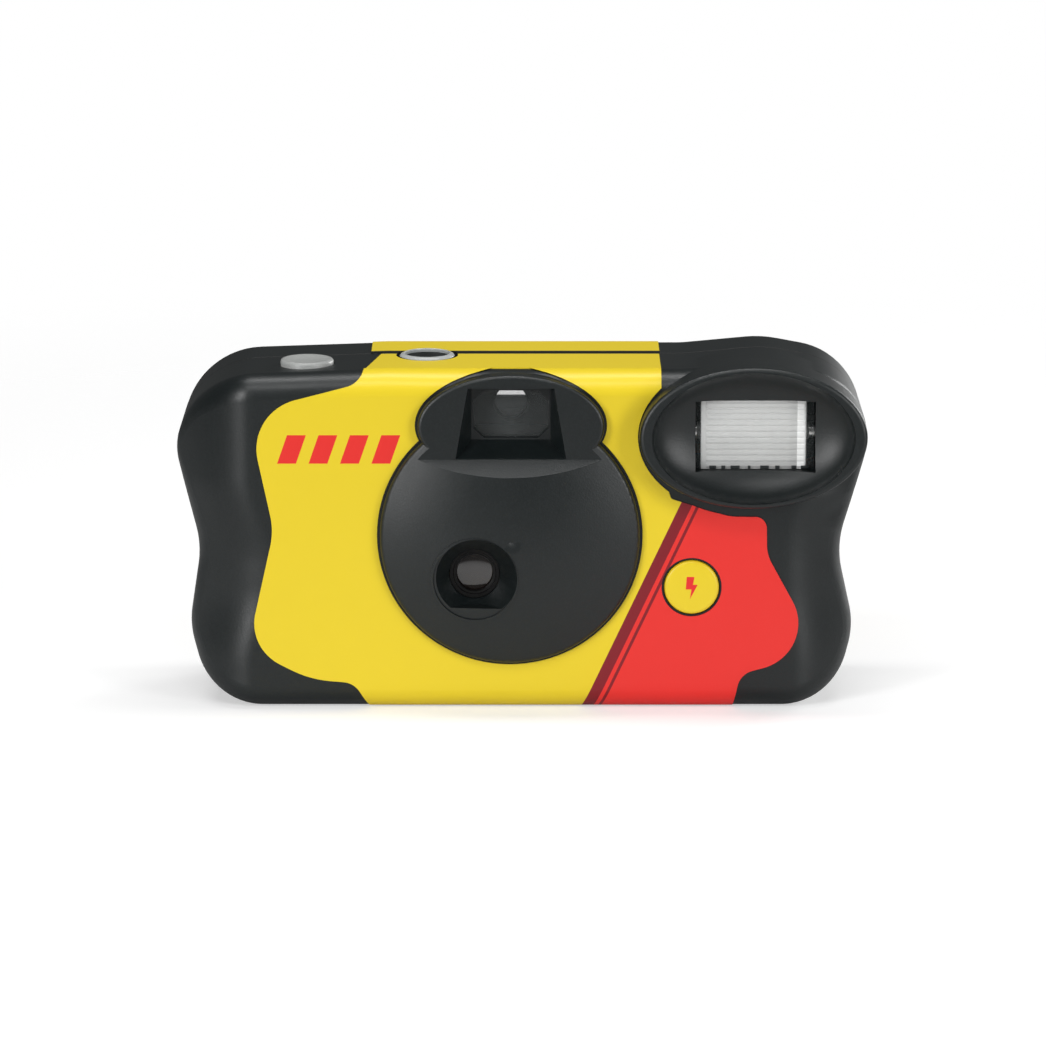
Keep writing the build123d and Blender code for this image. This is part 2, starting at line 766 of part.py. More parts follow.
def make_rear_cover():
    """Shallow rear half of the casing with thumbwheel slot, eyepiece hole and film pad."""
    slot_half = sqrt(wheel_radius ** 2 - (inner_back_y - cartridge_y) ** 2) + flange_gap
    scoop_half = slot_half + thumb_scoop_margin
    with BuildPart() as cover:
        add(casing_solid)
        add(casing_hollow, mode=Mode.SUBTRACT)
        block((-2 * half_width, 2 * half_width), (front_y - overrun, seam_y),
              (-overrun, 2 * body_height), mode=Mode.SUBTRACT)
        snap_tabs()
        block((gate_left_x, gate_right_x), (inner_back_y - pad_thickness, inner_back_y),
              (film_base_z, film_top_z))
        counter_window_hole()
        cartridge_pocket()
        with BuildSketch(front.offset(-(back_y + overrun))) as scoop:
            with Locations((cartridge_x, (wheel_base_z + wheel_top_z) / 2)):
                RectangleRounded(2 * scoop_half, wheel_thickness + 2 * thumb_scoop_margin,
                                 thumb_scoop_margin)
        extrude(amount=overrun + thumb_scoop_depth, mode=Mode.SUBTRACT)
        block((cartridge_x - slot_half, cartridge_x + slot_half),
              (inner_back_y - overrun, back_y + overrun),
              (wheel_base_z - flange_gap, wheel_top_z + flange_gap), mode=Mode.SUBTRACT)
        block((finder_x - eyepiece_half_width, finder_x + eyepiece_half_width),
              (inner_back_y - overrun, back_y + overrun),
              (finder_z - eyepiece_half_height, finder_z + eyepiece_half_height), mode=Mode.SUBTRACT)
        spindle(ready_x, lamp_z, (inner_back_y - overrun, back_y + overrun),
                ready_window_radius + window_fit, mode=Mode.SUBTRACT)
    return cover


def label_skin(shares, near_y, far_y):
    """Thin layer over the casing inside an outline, between two depths."""
    with BuildPart() as skin:
        add(casing_label)
        add(casing_solid, mode=Mode.SUBTRACT)
        with BuildSketch(front.offset(-far_y)) as outline:
            rounded_face(shares)
        extrude(outline.sketch, amount=far_y - near_y, mode=Mode.INTERSECT)
        block((-2 * half_width, 2 * half_width), (front_y - overrun, back_y + overrun),
              (-overrun, label_base_clearance), mode=Mode.SUBTRACT)
        post(counter_window_x, counter_window_y, (inner_top_z, body_height + overrun),
             counter_window_radius + label_counter_margin, mode=Mode.SUBTRACT)
    return skin.part


def make_front_label():
    """Printed label round the front and the top, cut out round the hub, flash and button."""
    far_y = seam_y - label_seam_gap
    low_y = front_y - overrun
    corner_y = front_y + front_rounding
    with BuildPart() as label:
        add(label_skin(front_label_shares, low_y, far_y))
        with BuildSketch(front.offset(-corner_y)) as gaps:
            with Locations((hub_x, hub_z)):
                Circle(hub_radius + label_hub_margin)
            with Locations((hood_x, hood_z)):
                Ellipse(hood_half_width + label_hub_margin, hood_half_height + label_hub_margin)
            with Locations((flash_x, flash_z - label_bezel_drop)):
                Ellipse(bezel_half_width + label_bezel_side_gap, bezel_half_height + label_bezel_base_gap)
            with Locations((flash_button_x, flash_button_z)):
                Circle(flash_button_radius + label_hub_margin)
        extrude(amount=corner_y - low_y, mode=Mode.SUBTRACT)
        with BuildSketch(Plane.XY.offset(body_height - wall)) as trim:
            with BuildLine():
                near, far = [share * half_width for share in label_top_left_shares]
                Polyline((near, corner_y), (far, far_y), (-half_width, far_y), (-half_width, corner_y),
                         close=True)
            make_face()
        extrude(amount=2 * wall, mode=Mode.SUBTRACT)
    return label


def make_rear_label():
    """Printed label over the top and back of the rear cover."""
    with BuildPart() as label:
        add(label_skin(rear_label_shares, seam_y + label_seam_gap, back_y + overrun))
        spindle(ready_x, lamp_z, (inner_back_y, back_y + overrun),
                ready_window_radius + label_counter_margin, mode=Mode.SUBTRACT)
        with BuildSketch(front.offset(-(back_y + overrun))):
            with Locations((finder_x, finder_z)):
                RectangleRounded(2 * (eyepiece_half_width + label_eyepiece_margin),
                                 2 * (eyepiece_half_height + label_eyepiece_margin),
                                 label_eyepiece_margin)
        extrude(amount=overrun + wall, mode=Mode.SUBTRACT)
    return label


def make_windows():
    """Clear windows: flash, counter, viewfinder front lens, eyepiece and ready light."""
    with BuildPart() as flash_window:
        with BuildSketch(front.offset(-flash_window_back_y)):
            with Locations((flash_window_x, flash_window_z)):
                Rectangle(flash_window_width - 2 * window_fit, flash_window_height - 2 * window_fit)
        extrude(amount=flash_window_thickness)
    keep(flash_window, "flash_window")
    with BuildPart() as counter_window:
        post(counter_window_x, counter_window_y, (body_height - counter_window_thickness, body_height),
             counter_window_radius)
        with BuildSketch(Plane.XY.offset(body_height)):
            with Locations((counter_window_x, counter_window_y)):
                Circle(counter_window_radius)
        extrude(amount=counter_window_crown, taper=counter_crown_taper)
    keep(counter_window, "counter_window")
    with BuildPart() as finder_lens:
        block((finder_x - finder_window_half_width - frame_skin,
               finder_x + finder_window_half_width + frame_skin),
              (finder_lens_y, finder_lens_y + finder_lens_thickness),
              (finder_floor_z - finder_sill, finder_roof_z + finder_sill))
        with BuildSketch(front.offset(-(finder_lens_y + finder_lens_thickness))):
            with Locations((finder_x, finder_z)):
                Circle(finder_window_height / 2 - finder_sill)
        extrude(amount=finder_lens_thickness / 2, mode=Mode.SUBTRACT)
    keep(finder_lens, "viewfinder_front_lens")
    with BuildPart() as rear_lens:
        lens_back_y = finder_partition_y + finder_rear_lens_seat
        spindle(finder_x, finder_z, (lens_back_y - finder_rear_lens_thickness, lens_back_y),
                finder_rear_lens_radius)
        fillet(rear_lens.edges().filter_by(GeomType.CIRCLE).sort_by(Axis.Y)[0],
               finder_rear_lens_ledge)
    keep(rear_lens, "viewfinder_rear_lens")
    with BuildPart() as eyepiece:
        block((finder_x - eyepiece_half_width + eyepiece_fit, finder_x + eyepiece_half_width - eyepiece_fit),
              (inner_back_y - eyepiece_thickness / 2, back_y - eyepiece_thickness / 2),
              (finder_z - eyepiece_half_height + eyepiece_fit, finder_z + eyepiece_half_height - eyepiece_fit))
        block((finder_x - eyepiece_half_width - frame_skin / 2, finder_x + eyepiece_half_width + frame_skin / 2),
              (inner_back_y - eyepiece_thickness / 2, inner_back_y),
              (finder_z - eyepiece_half_height - frame_skin / 2, finder_z + eyepiece_half_height + frame_skin / 2))
    keep(eyepiece, "viewfinder_eyepiece")
    with BuildPart() as ready_window:
        spindle(ready_x, lamp_z, (inner_back_y - frame_skin, back_y), ready_window_radius)
        spindle(ready_x, lamp_z, (inner_back_y - frame_skin, inner_back_y),
                ready_window_radius + frame_skin / 2)
    keep(ready_window, "ready_light_window")


def link(start, end, width):
    """Round-ended strip between two points of a sketch."""
    run = (end[0] - start[0], end[1] - start[1])
    with Locations(((start[0] + end[0]) / 2, (start[1] + end[1]) / 2)):
        SlotCenterToCenter(sqrt(run[0] ** 2 + run[1] ** 2), width, rotation=degrees(atan2(run[1], run[0])))


def toothed_disc(radius, depth, count):
    """Saw-toothed disc outline about the sketch origin, as a face."""
    points = []
    for tooth in range(count):
        turn = 2 * pi * tooth / count
        step = 2 * pi / count
        points.append((radius * cos(turn), radius * sin(turn)))
        points.append(((radius - depth) * cos(turn + step), (radius - depth) * sin(turn + step)))
    with BuildLine() as rim:
        Polyline(*points, close=True)
    make_face(rim.edges())


def coil(origin, direction, radius, turns, wire, pitch):
    """Open coil of round wire."""
    with BuildPart() as spring:
        with BuildLine() as path:
            Helix(pitch=pitch, height=pitch * turns, radius=radius, center=origin, direction=direction)
        with BuildSketch(Plane(origin=path.line @ 0, z_dir=path.line % 0)):
            Circle(wire / 2)
        sweep()
    return spring


def make_cartridge():
    """Film cartridge: shell with its lip, two end caps, felt light trap."""
    low = cartridge_base_z + cartridge_cap_thickness
    high = cartridge_top_z - cartridge_cap_thickness
    mouth_x = cartridge_x + sqrt(cartridge_radius ** 2 - (film_y - cartridge_y) ** 2)
    lip_x = (mouth_x - lip_thickness, mouth_x + lip_length)
    with BuildPart() as shell:
        post(cartridge_x, cartridge_y, (low, high), cartridge_radius)
        block(lip_x, (film_y - lip_thickness / 2, film_y + lip_thickness / 2), (low, high))
        post(cartridge_x, cartridge_y, (low, high), cartridge_radius - cartridge_skin, mode=Mode.SUBTRACT)
        block((cartridge_x, lip_x[1] + overrun), (film_y - lip_slot / 2, film_y + lip_slot / 2), (low, high),
              mode=Mode.SUBTRACT)
    keep(shell, "cartridge_shell")
    with BuildPart() as felt:
        felt_x = (mouth_x + lip_thickness / 2, lip_x[1])
        block(felt_x, (film_y - lip_slot / 2, film_y - lip_slot / 2 + felt_thickness), (low, high))
        block(felt_x, (film_y + lip_slot / 2 - felt_thickness, film_y + lip_slot / 2), (low, high))
    keep(felt, "cartridge_felt")
    for label, plate, bore in (("cartridge_cap_top", (high, cartridge_top_z), spool_core_radius),
                               ("cartridge_cap_bottom", (cartridge_base_z, low), spool_short_end_radius)):
        with BuildPart() as cap:
            post(cartridge_x, cartridge_y, plate, cartridge_radius)
            if bore == spool_core_radius:
                post(cartridge_x, cartridge_y, (high, cartridge_top_z + cartridge_cap_thickness),
                     bore + cartridge_cap_collar)
            post(cartridge_x, cartridge_y, (plate[0], plate[1] + cartridge_cap_thickness),
                 bore + running_fit, mode=Mode.SUBTRACT)
        keep(cap, label)


def make_winder():
    """Thumbwheel with its ratchet and pin, and the cartridge spool that it drives."""
    low = cartridge_base_z + cartridge_cap_thickness + loose_fit
    high = cartridge_top_z - cartridge_cap_thickness - loose_fit
    spool_top_z = cartridge_top_z + spool_long_end_length
    bore_top_z = spool_top_z + drive_fit
    with BuildPart() as spool:
        post(cartridge_x, cartridge_y, (low, spool_top_z), spool_core_radius)
        post(cartridge_x, cartridge_y, (cartridge_base_z + running_fit, low), spool_short_end_radius)
        for base in (low, high - spool_flange_thickness):
            post(cartridge_x, cartridge_y, (base, base + spool_flange_thickness), spool_flange_radius)
        block((cartridge_x - spool_core_radius, cartridge_x + spool_core_radius),
              (cartridge_y - spool_key_width / 2 - drive_fit, cartridge_y + spool_key_width / 2 + drive_fit),
              (wheel_base_z, bore_top_z), mode=Mode.SUBTRACT)
    keep(spool, "cartridge_spool")
    with BuildPart() as wheel:
        with BuildSketch(Plane.XY.offset(wheel_base_z)):
            with Locations((cartridge_x, cartridge_y)):
                Circle(wheel_radius)
                with PolarLocations(wheel_radius, wheel_grip_grooves):
                    Circle(wheel_groove_radius, mode=Mode.SUBTRACT)
        extrude(amount=wheel_thickness)
        with BuildSketch(Plane((cartridge_x, cartridge_y, ratchet_z))):
            toothed_disc(ratchet_radius, ratchet_tooth_depth, ratchet_teeth)
        extrude(amount=ratchet_thickness)
        post(cartridge_x, cartridge_y, (ratchet_z, wheel_hub_top_z), wheel_hub_radius)
        post(cartridge_x, cartridge_y, (wheel_hub_top_z, plate_top_z), wheel_pin_radius)
        post(cartridge_x, cartridge_y, (wheel_base_z - overrun, bore_top_z),
             spool_core_radius + drive_fit, mode=Mode.SUBTRACT)
        block((cartridge_x - spool_core_radius - drive_fit, cartridge_x + spool_core_radius + drive_fit),
              (cartridge_y - spool_key_width / 2, cartridge_y + spool_key_width / 2),
              (wheel_base_z + drive_fit, bore_top_z))
    keep(wheel, "thumbwheel")


def make_film():
    """Film strip across the gate, supply spool and the film still wound on it."""
    start_x = cartridge_x + cartridge_radius / 2
    length = supply_x - start_x
    rows = film_width - 2 * perforation_margin - perforation_height
    with BuildPart() as strip:
        block((start_x, supply_x), (film_y - film_thickness / 2, film_y + film_thickness / 2),
              (film_base_z, film_top_z))
        with BuildSketch(front.offset(-(film_y + film_thickness))):
            with Locations(((start_x + supply_x) / 2, lens_z)):
                with GridLocations(perforation_pitch, rows, int(length / perforation_pitch), 2):
                    Rectangle(perforation_length, perforation_height)
        extrude(amount=2 * film_thickness, mode=Mode.SUBTRACT)
    keep(strip, "film_strip")
    low = film_base_z - flange_gap
    high = film_top_z + flange_gap
    with BuildPart() as spool:
        post(supply_x, supply_y, (base_plate_z, deck_top_z + flange_gap), supply_pivot_radius)
        post(supply_x, supply_y, (low, high), supply_core_radius)
        post(supply_x, supply_y, (low - supply_flange_thickness, low), supply_flange_radius)
        post(supply_x, supply_y, (high, high + supply_flange_thickness), supply_flange_radius)
    keep(spool, "supply_spool")
    with BuildPart() as roll:
        post(supply_x, supply_y, (film_base_z, film_top_z), roll_radius)
        post(supply_x, supply_y, (film_base_z, film_top_z), supply_core_radius + film_roll_fit,
             mode=Mode.SUBTRACT)
    keep(roll, "film_roll")


def light_tunnel(grow, mode):
    """Pyramid from the shutter opening to the picture gate."""
    with BuildSketch(front.offset(-gate_y)) as back:
        with Locations((lens_x, lens_z)):
            Rectangle(picture_width + 2 * grow, picture_height + 2 * grow)
    with BuildSketch(front.offset(-(shutter_wall_y + frame_skin))) as mouth:
        with Locations((lens_x, lens_z)):
            Rectangle(2 * (tunnel_mouth_half + grow), 2 * (tunnel_mouth_half + grow))
    loft([back.sketch, mouth.sketch], ruled=True, mode=mode)


def make_frame():
    """Inner frame: picture gate, light tunnel, chamber walls, deck and viewfinder tunnel."""
    battery_wall_x = battery_right_x + battery_left_gap
    battery_wall_top_z = battery_z + battery_radius / 2
    battery_front_y = battery_y - battery_radius + wall
    finder_half = finder_window_half_width
    finder_front_y = finder_lens_y + finder_lens_thickness + window_fit
    slot_half = sqrt(sprocket_tip_radius ** 2 - (deck_back_y - sprocket_y) ** 2) + loose_fit
    with BuildPart() as frame:
        block((left_wall_x, gate_right_x + gate_plate_margin), (deck_back_y, gate_y),
              (base_plate_z, deck_top_z))
        light_tunnel(frame_skin, Mode.ADD)
        block((lens_x - shutter_wall_left, lens_x + shutter_wall_right),
              (shutter_wall_y, shutter_wall_y + frame_skin), (lens_z - shutter_wall_floor, deck_top_z))
        block((left_wall_x, deck_right_x), (shutter_wall_y, gate_y), (deck_z, deck_top_z))
        block((left_wall_x, half_width - base_end_inset), (battery_y + battery_radius + loose_fit, gate_y),
              (base_plate_z, base_plate_z + frame_skin))
        block((left_wall_x, left_wall_x + chamber_wall), (shutter_wall_y, gate_y), (base_plate_z, deck_z))
        block((left_wall_x, left_wall_x + chamber_wall), (battery_front_y, gate_y),
              (base_plate_z, battery_wall_top_z))
        block((battery_wall_x, battery_wall_x + chamber_wall), (battery_front_y, gate_y),
              (base_plate_z, battery_wall_top_z))
        block((supply_wall_x, supply_wall_x + chamber_wall), (reflector_back_y + loose_fit, gate_y),
              (base_plate_z, deck_z))
        block((finder_x - finder_half - finder_wall, finder_x + finder_half + finder_wall),
              (finder_front_y, gate_y), (deck_z, finder_roof_z + finder_wall))
        block((finder_x - finder_half, finder_x + finder_half), (finder_front_y - overrun, gate_y + overrun),
              (finder_floor_z, finder_roof_z), mode=Mode.SUBTRACT)
        block((finder_x - finder_half, finder_x + finder_half),
              (finder_partition_y, finder_partition_y + finder_partition_thickness),
              (finder_floor_z, finder_roof_z))
        spindle(finder_x, finder_z, (finder_partition_y - overrun, finder_partition_y + finder_rear_lens_seat),
                finder_rear_lens_radius + film_roll_fit, mode=Mode.SUBTRACT)
        spindle(finder_x, finder_z, (finder_partition_y, finder_partition_y + finder_partition_thickness),
                finder_rear_lens_radius - finder_rear_lens_ledge, mode=Mode.SUBTRACT)
        light_tunnel(0, Mode.SUBTRACT)
        block((gate_left_x, gate_right_x), (deck_back_y, gate_y + overrun),
              (lens_z - picture_height / 2, lens_z + picture_height / 2), mode=Mode.SUBTRACT)
        spindle(lens_x, lens_z, (shutter_wall_y - overrun, shutter_wall_y + overrun), aperture_radius,
                mode=Mode.SUBTRACT)
        block((sprocket_x - slot_half, sprocket_x + slot_half), (deck_back_y - overrun, gate_y + overrun),
              (sprocket_z - sprocket_thickness / 2 - loose_fit, sprocket_z + sprocket_thickness / 2 + loose_fit),
              mode=Mode.SUBTRACT)
        block((flash_window_x - flash_window_width / 2 - frame_skin,
               flash_window_x + flash_window_width / 2 + frame_skin),
              (shutter_wall_y - overrun, reflector_back_y + loose_fit), (deck_z - overrun, deck_top_z + overrun),
              mode=Mode.SUBTRACT)
        post(sprocket_x, sprocket_y, (deck_z - overrun, deck_top_z + overrun),
             sprocket_shaft_radius + running_fit, mode=Mode.SUBTRACT)
        for z in (deck_z, base_plate_z):
            post(supply_x, supply_y, (z - running_fit, z + frame_skin + running_fit),
                 supply_pivot_radius + running_fit, mode=Mode.SUBTRACT)
        for x, y in plate_post_places():
            post(x, y, (deck_top_z, plate_z), frame_post_radius)
        post(striker_x, striker_y, (deck_top_z, striker_z + lever_thickness + spring_stack),
             lever_pin_radius)
        spindle(blade_pivot_x, blade_pivot_z, (blade_y - spring_stack, shutter_wall_y), blade_pin_radius)
    keep(frame, "main_frame")


def plate_post_places():
    """Places of the posts that carry the mechanism plate."""
    right_x = plate_right_x - frame_post_radius
    back = deck_back_y - frame_post_radius
    return ((right_x, back), (right_x, striker_y), (left_wall_x + 3 * frame_post_radius, back))


def make_mechanism():
    """Plate over the levers, sprocket with its cam, counter disc and the two levers."""
    with BuildPart() as plate:
        block((plate_left_x, plate_right_x), (striker_y - frame_post_radius, deck_back_y),
              (plate_z, plate_top_z))
        post(stem_x, button_y, (plate_z, plate_top_z), button_stem_radius + button_fit, mode=Mode.SUBTRACT)
        post(sprocket_x, sprocket_y, (plate_z, plate_top_z), sprocket_shaft_radius + running_fit,
             mode=Mode.SUBTRACT)
        post(cartridge_x, cartridge_y, (plate_z, plate_top_z), wheel_pin_radius + running_fit,
             mode=Mode.SUBTRACT)
        post(counter_x, counter_y, (plate_top_z, counter_z + counter_thickness + running_fit),
             counter_pivot_radius)
        post(counter_x, counter_y, (plate_top_z, counter_z - running_fit), counter_pivot_radius + loose_fit)
        post(metering_x, metering_y, (metering_z - running_fit, plate_z), lever_pin_radius)
    keep(plate, "mechanism_plate")
    with BuildPart() as sprocket:
        with BuildSketch(Plane((sprocket_x, sprocket_y, sprocket_z - sprocket_thickness / 2))):
            Circle(sprocket_radius)
            reach = sprocket_tip_radius - sprocket_radius / 2
            with PolarLocations(sprocket_radius / 2 + reach / 2, sprocket_teeth, start_angle=sprocket_turn):
                Rectangle(reach, sprocket_tooth_width)
        extrude(amount=sprocket_thickness)
        post(sprocket_x, sprocket_y, (sprocket_z, plate_top_z), sprocket_shaft_radius)
    keep(sprocket, "sprocket_wheel")
    with BuildPart() as cam:
        with BuildSketch(Plane((sprocket_x, sprocket_y, deck_top_z + cam_lift))):
            Circle(cam_radius)
            Circle(sprocket_shaft_radius + film_roll_fit, mode=Mode.SUBTRACT)
            with Locations((cam_radius, 0)):
                Circle(cam_notch, mode=Mode.SUBTRACT)
        extrude(amount=cam_thickness)
    keep(cam, "shutter_cam")
    with BuildPart() as counter:
        with BuildSketch(Plane((counter_x, counter_y, counter_z))):
            toothed_disc(counter_radius, counter_tooth_depth, counter_teeth)
            Circle(counter_pivot_radius + running_fit, mode=Mode.SUBTRACT)
        extrude(amount=counter_thickness)
    keep(counter, "counter_wheel")
    with BuildPart() as striker:
        with BuildSketch(Plane((striker_x, striker_y, striker_z))):
            link((0, 0), (striker_tip_dx, -striker_tip_dy), lever_width)
            link((0, 0), (striker_tail_dx, striker_tail_dy), lever_width)
            Circle(lever_pin_radius + lever_width / 2)
            Circle(lever_pin_radius + running_fit, mode=Mode.SUBTRACT)
        extrude(amount=lever_thickness)
    keep(striker, "striker_lever")
    nose = ratchet_radius + metering_nose_gap + lever_width / 2
    nose_x = cartridge_x + nose * cos(radians(metering_nose_angle)) - metering_x
    nose_y = cartridge_y + nose * sin(radians(metering_nose_angle)) - metering_y
    with BuildPart() as metering:
        with BuildSketch(Plane((metering_x, metering_y, metering_z))):
            link((0, 0), (nose_x, nose_y), lever_width)
            link((0, 0), (-nose_x, nose_y / 2), lever_width)
            Circle(lever_pin_radius + lever_width / 2)
            Circle(lever_pin_radius + running_fit, mode=Mode.SUBTRACT)
        extrude(amount=lever_thickness)
    keep(metering, "metering_lever")


def make_shutter():
    """Shutter blade on its pin, the three wire springs and the flash contacts."""
    with BuildPart() as blade:
        with BuildSketch(front.offset(-(blade_y + blade_thickness))):
            with Locations((lens_x, lens_z)):
                Circle(blade_disc_radius)
            link((lens_x, lens_z), (blade_pivot_x, blade_pivot_z), blade_arm_width)
            link((blade_pivot_x, blade_pivot_z),
                 (blade_pivot_x - blade_tail_dx, blade_pivot_z + blade_tail_dz), blade_tail_width)
            with Locations((blade_pivot_x, blade_pivot_z)):
                Circle(blade_pin_radius + blade_tail_width / 2)
                Circle(blade_pin_radius + running_fit, mode=Mode.SUBTRACT)
        extrude(amount=blade_thickness)
    keep(blade, "shutter_blade")
    ends = spring_wire / 2 + loose_fit
    keep(coil((blade_pivot_x, blade_y - ends, blade_pivot_z), (0, -1, 0), spring_coil_radius,
              spring_turns, spring_wire, spring_pitch), "shutter_spring")
    keep(coil((striker_x, striker_y, striker_z + lever_thickness + ends), (0, 0, 1), spring_coil_radius,
              spring_turns, spring_wire, spring_pitch), "striker_spring")
    keep(coil((metering_x, metering_y, metering_z + lever_thickness + ends), (0, 0, 1),
              spring_coil_radius, spring_turns / 2, spring_wire, spring_pitch), "metering_spring")
    with BuildPart() as contacts:
        wall_left_x = lens_x - shutter_wall_left
        for step in (0, 1):
            left = wall_left_x + contact_strip_gap + step * (contact_strip_width + contact_strip_gap)
            block((left, left + contact_strip_width), (shutter_wall_y - contact_strip_thickness, shutter_wall_y),
                  (blade_pivot_z - contact_strip_length / 2, blade_pivot_z + contact_strip_length / 2))
    keep(contacts, "sync_contacts")


def make_lens():
    """Taking lens in its mount, held by a ring."""
    back_y_of_lens = lens_mount_front_y + lens_thickness
    with BuildPart() as mount:
        spindle(lens_x, lens_z, (lens_mount_front_y, lens_mount_y), lens_mount_radius)
        spindle(lens_x, lens_z, (lens_mount_front_y - overrun, back_y_of_lens),
                lens_radius + film_roll_fit, mode=Mode.SUBTRACT)
        spindle(lens_x, lens_z, (back_y_of_lens, lens_mount_y + overrun), lens_stop_radius,
                mode=Mode.SUBTRACT)
        for turn in lens_mount_leg_turns:
            reach = lens_mount_radius * lens_mount_leg_share
            spindle(lens_x + reach * cos(radians(turn)), lens_z + reach * sin(radians(turn)),
                    (lens_mount_y, shutter_wall_y), lens_mount_leg_radius)
    keep(mount, "lens_mount")
    with BuildPart() as lens:
        spindle(lens_x, lens_z, (lens_mount_front_y, back_y_of_lens), lens_radius)
        with BuildSketch(Plane((lens_x, 0, lens_z), x_dir=(1, 0, 0), z_dir=(0, 0, 1))):
            with BuildLine():
                rim = retainer_inner_radius - running_fit
                crown_y = lens_mount_front_y - lens_bulge
                Line((0, lens_mount_front_y), (0, crown_y))
                RadiusArc((0, crown_y), (rim, lens_mount_front_y),
                          -(rim ** 2 + lens_bulge ** 2) / (2 * lens_bulge))
                Line((rim, lens_mount_front_y), (0, lens_mount_front_y))
            make_face()
        revolve(axis=Axis((lens_x, 0, lens_z), (0, 1, 0)))
    keep(lens, "taking_lens")
    with BuildPart() as ring:
        spindle(lens_x, lens_z, (lens_mount_front_y - retainer_thickness, lens_mount_front_y),
                lens_mouth_radius - running_fit)
        spindle(lens_x, lens_z, (lens_mount_front_y - retainer_thickness, lens_mount_front_y),
                retainer_inner_radius, mode=Mode.SUBTRACT)
    keep(ring, "lens_retainer")


def make_battery():
    """Battery, its cap and the two contacts that hold it."""
    can_end_x = battery_right_x - battery_terminal_length
    with BuildPart() as can:
        bar(battery_y, battery_z, (battery_left_x, can_end_x), battery_radius)
        fillet(can.edges().filter_by(GeomType.CIRCLE), battery_rounding)
    keep(can, "battery_can")
    with BuildPart() as terminal:
        bar(battery_y, battery_z, (can_end_x, battery_right_x), battery_terminal_radius)
    keep(terminal, "battery_terminal")
    wall_x = left_wall_x + chamber_wall
    with BuildPart() as negative:
        block((wall_x, wall_x + contact_thickness), (battery_y - contact_width / 2, battery_y + contact_width / 2),
              (battery_z - contact_width / 2, battery_z + contact_width / 2))
        bar(battery_y, battery_z, (wall_x + contact_thickness, battery_left_x), contact_spring_radius)
    keep(negative, "battery_contact_negative")
    end_x = battery_right_x + battery_left_gap
    with BuildPart() as positive:
        block((end_x - contact_thickness, end_x), (battery_y - contact_width / 2, battery_y + contact_width / 2),
              (battery_z - contact_width / 2, battery_z + contact_width / 2))
        bar(battery_y, battery_z, (battery_right_x, end_x - contact_thickness), battery_terminal_radius)
    keep(positive, "battery_contact_positive")


def make_flash():
    """Flash board with its parts, reflector, tube and the switch under the flash button."""
    board_back_y = board_y + board_thickness
    board_top_z = board_floor_z + board_height
    with BuildPart() as board:
        block((board_left_x, board_right_x), (board_y, board_back_y), (board_floor_z, board_top_z))
    keep(board, "flash_circuit_board")
    with BuildPart() as chips:
        for x_share, z_share, width_share, height_share in chip_place_shares:
            x = board_left_x + (board_right_x - board_left_x) * x_share
            z = board_floor_z + board_height * z_share
            half = (board_right_x - board_left_x) * width_share / 2
            high = board_height * height_share / 2
            block((x - half, x + half), (board_back_y, board_back_y + chip_depth), (z - high, z + high))
    keep(chips, "board_components")
    with BuildPart() as capacitor:
        post(capacitor_x, capacitor_y, (capacitor_top_z - capacitor_length, capacitor_top_z),
             capacitor_radius)
        fillet(capacitor.edges().filter_by(GeomType.CIRCLE), battery_rounding)
    keep(capacitor, "flash_capacitor")
    coil_x = supply_wall_x - transformer_gap - transformer_width / 2
    with BuildPart() as transformer:
        block((coil_x - transformer_width / 2, coil_x + transformer_width / 2),
              (board_back_y, board_back_y + transformer_depth),
              (board_floor_z + transformer_lift, board_floor_z + transformer_lift + transformer_height))
    keep(transformer, "flash_transformer")
    trigger_base_z = board_floor_z + transformer_lift + transformer_height + transformer_gap
    with BuildPart() as trigger:
        post(coil_x, board_back_y + trigger_radius + running_fit,
             (trigger_base_z, trigger_base_z + trigger_height), trigger_radius)
    keep(trigger, "trigger_coil")
    left = reflector_x - reflector_width / 2
    right = reflector_x + reflector_width / 2
    with BuildPart() as reflector:
        block((left, right), (reflector_front_y, reflector_back_y),
              (flash_window_z - reflector_height / 2, flash_window_z + reflector_height / 2))
        with BuildSketch(Plane.YZ.offset(left + reflector_skin)):
            with Locations((reflector_front_y, flash_window_z)):
                Ellipse(reflector_depth - reflector_skin, reflector_height / 2 - reflector_skin)
        extrude(amount=reflector_width - 2 * reflector_skin, mode=Mode.SUBTRACT)
        bar(tube_y, flash_window_z, (left - overrun, right + overrun), tube_radius + button_fit,
            mode=Mode.SUBTRACT)
    keep(reflector, "flash_reflector")
    with BuildPart() as tube:
        bar(tube_y, flash_window_z, (left - tube_overhang, right + tube_overhang), tube_radius)
    keep(tube, "flash_tube")
    with BuildPart() as caps:
        bar(tube_y, flash_window_z, (left - tube_overhang - tube_cap_length, left - tube_overhang),
            tube_radius)
        bar(tube_y, flash_window_z, (right + tube_overhang, right + tube_overhang + tube_cap_length),
            tube_radius)
    keep(caps, "flash_tube_electrodes")
    with BuildPart() as lamp:
        lamp_end_y = inner_back_y - frame_skin - loose_fit
        spindle(ready_x, lamp_z, (lamp_end_y - lamp_length, lamp_end_y), lamp_radius)
        fillet(lamp.edges().filter_by(GeomType.CIRCLE), lamp_radius / 2)
    keep(lamp, "ready_lamp")
    blade_front_y = board_y - switch_blade_lift - switch_blade_thickness
    with BuildPart() as switch_blade:
        block((flash_button_x - switch_blade_length + switch_blade_width, flash_button_x + switch_blade_width),
              (blade_front_y, blade_front_y + switch_blade_thickness),
              (flash_button_z - switch_blade_width / 2, flash_button_z + switch_blade_width / 2))
        block((flash_button_x - switch_blade_length + switch_blade_width,
               flash_button_x - switch_blade_length + 2 * switch_blade_width),
              (blade_front_y, board_y),
              (flash_button_z - switch_blade_width / 2, flash_button_z + switch_blade_width / 2))
    keep(switch_blade, "flash_switch_blade")


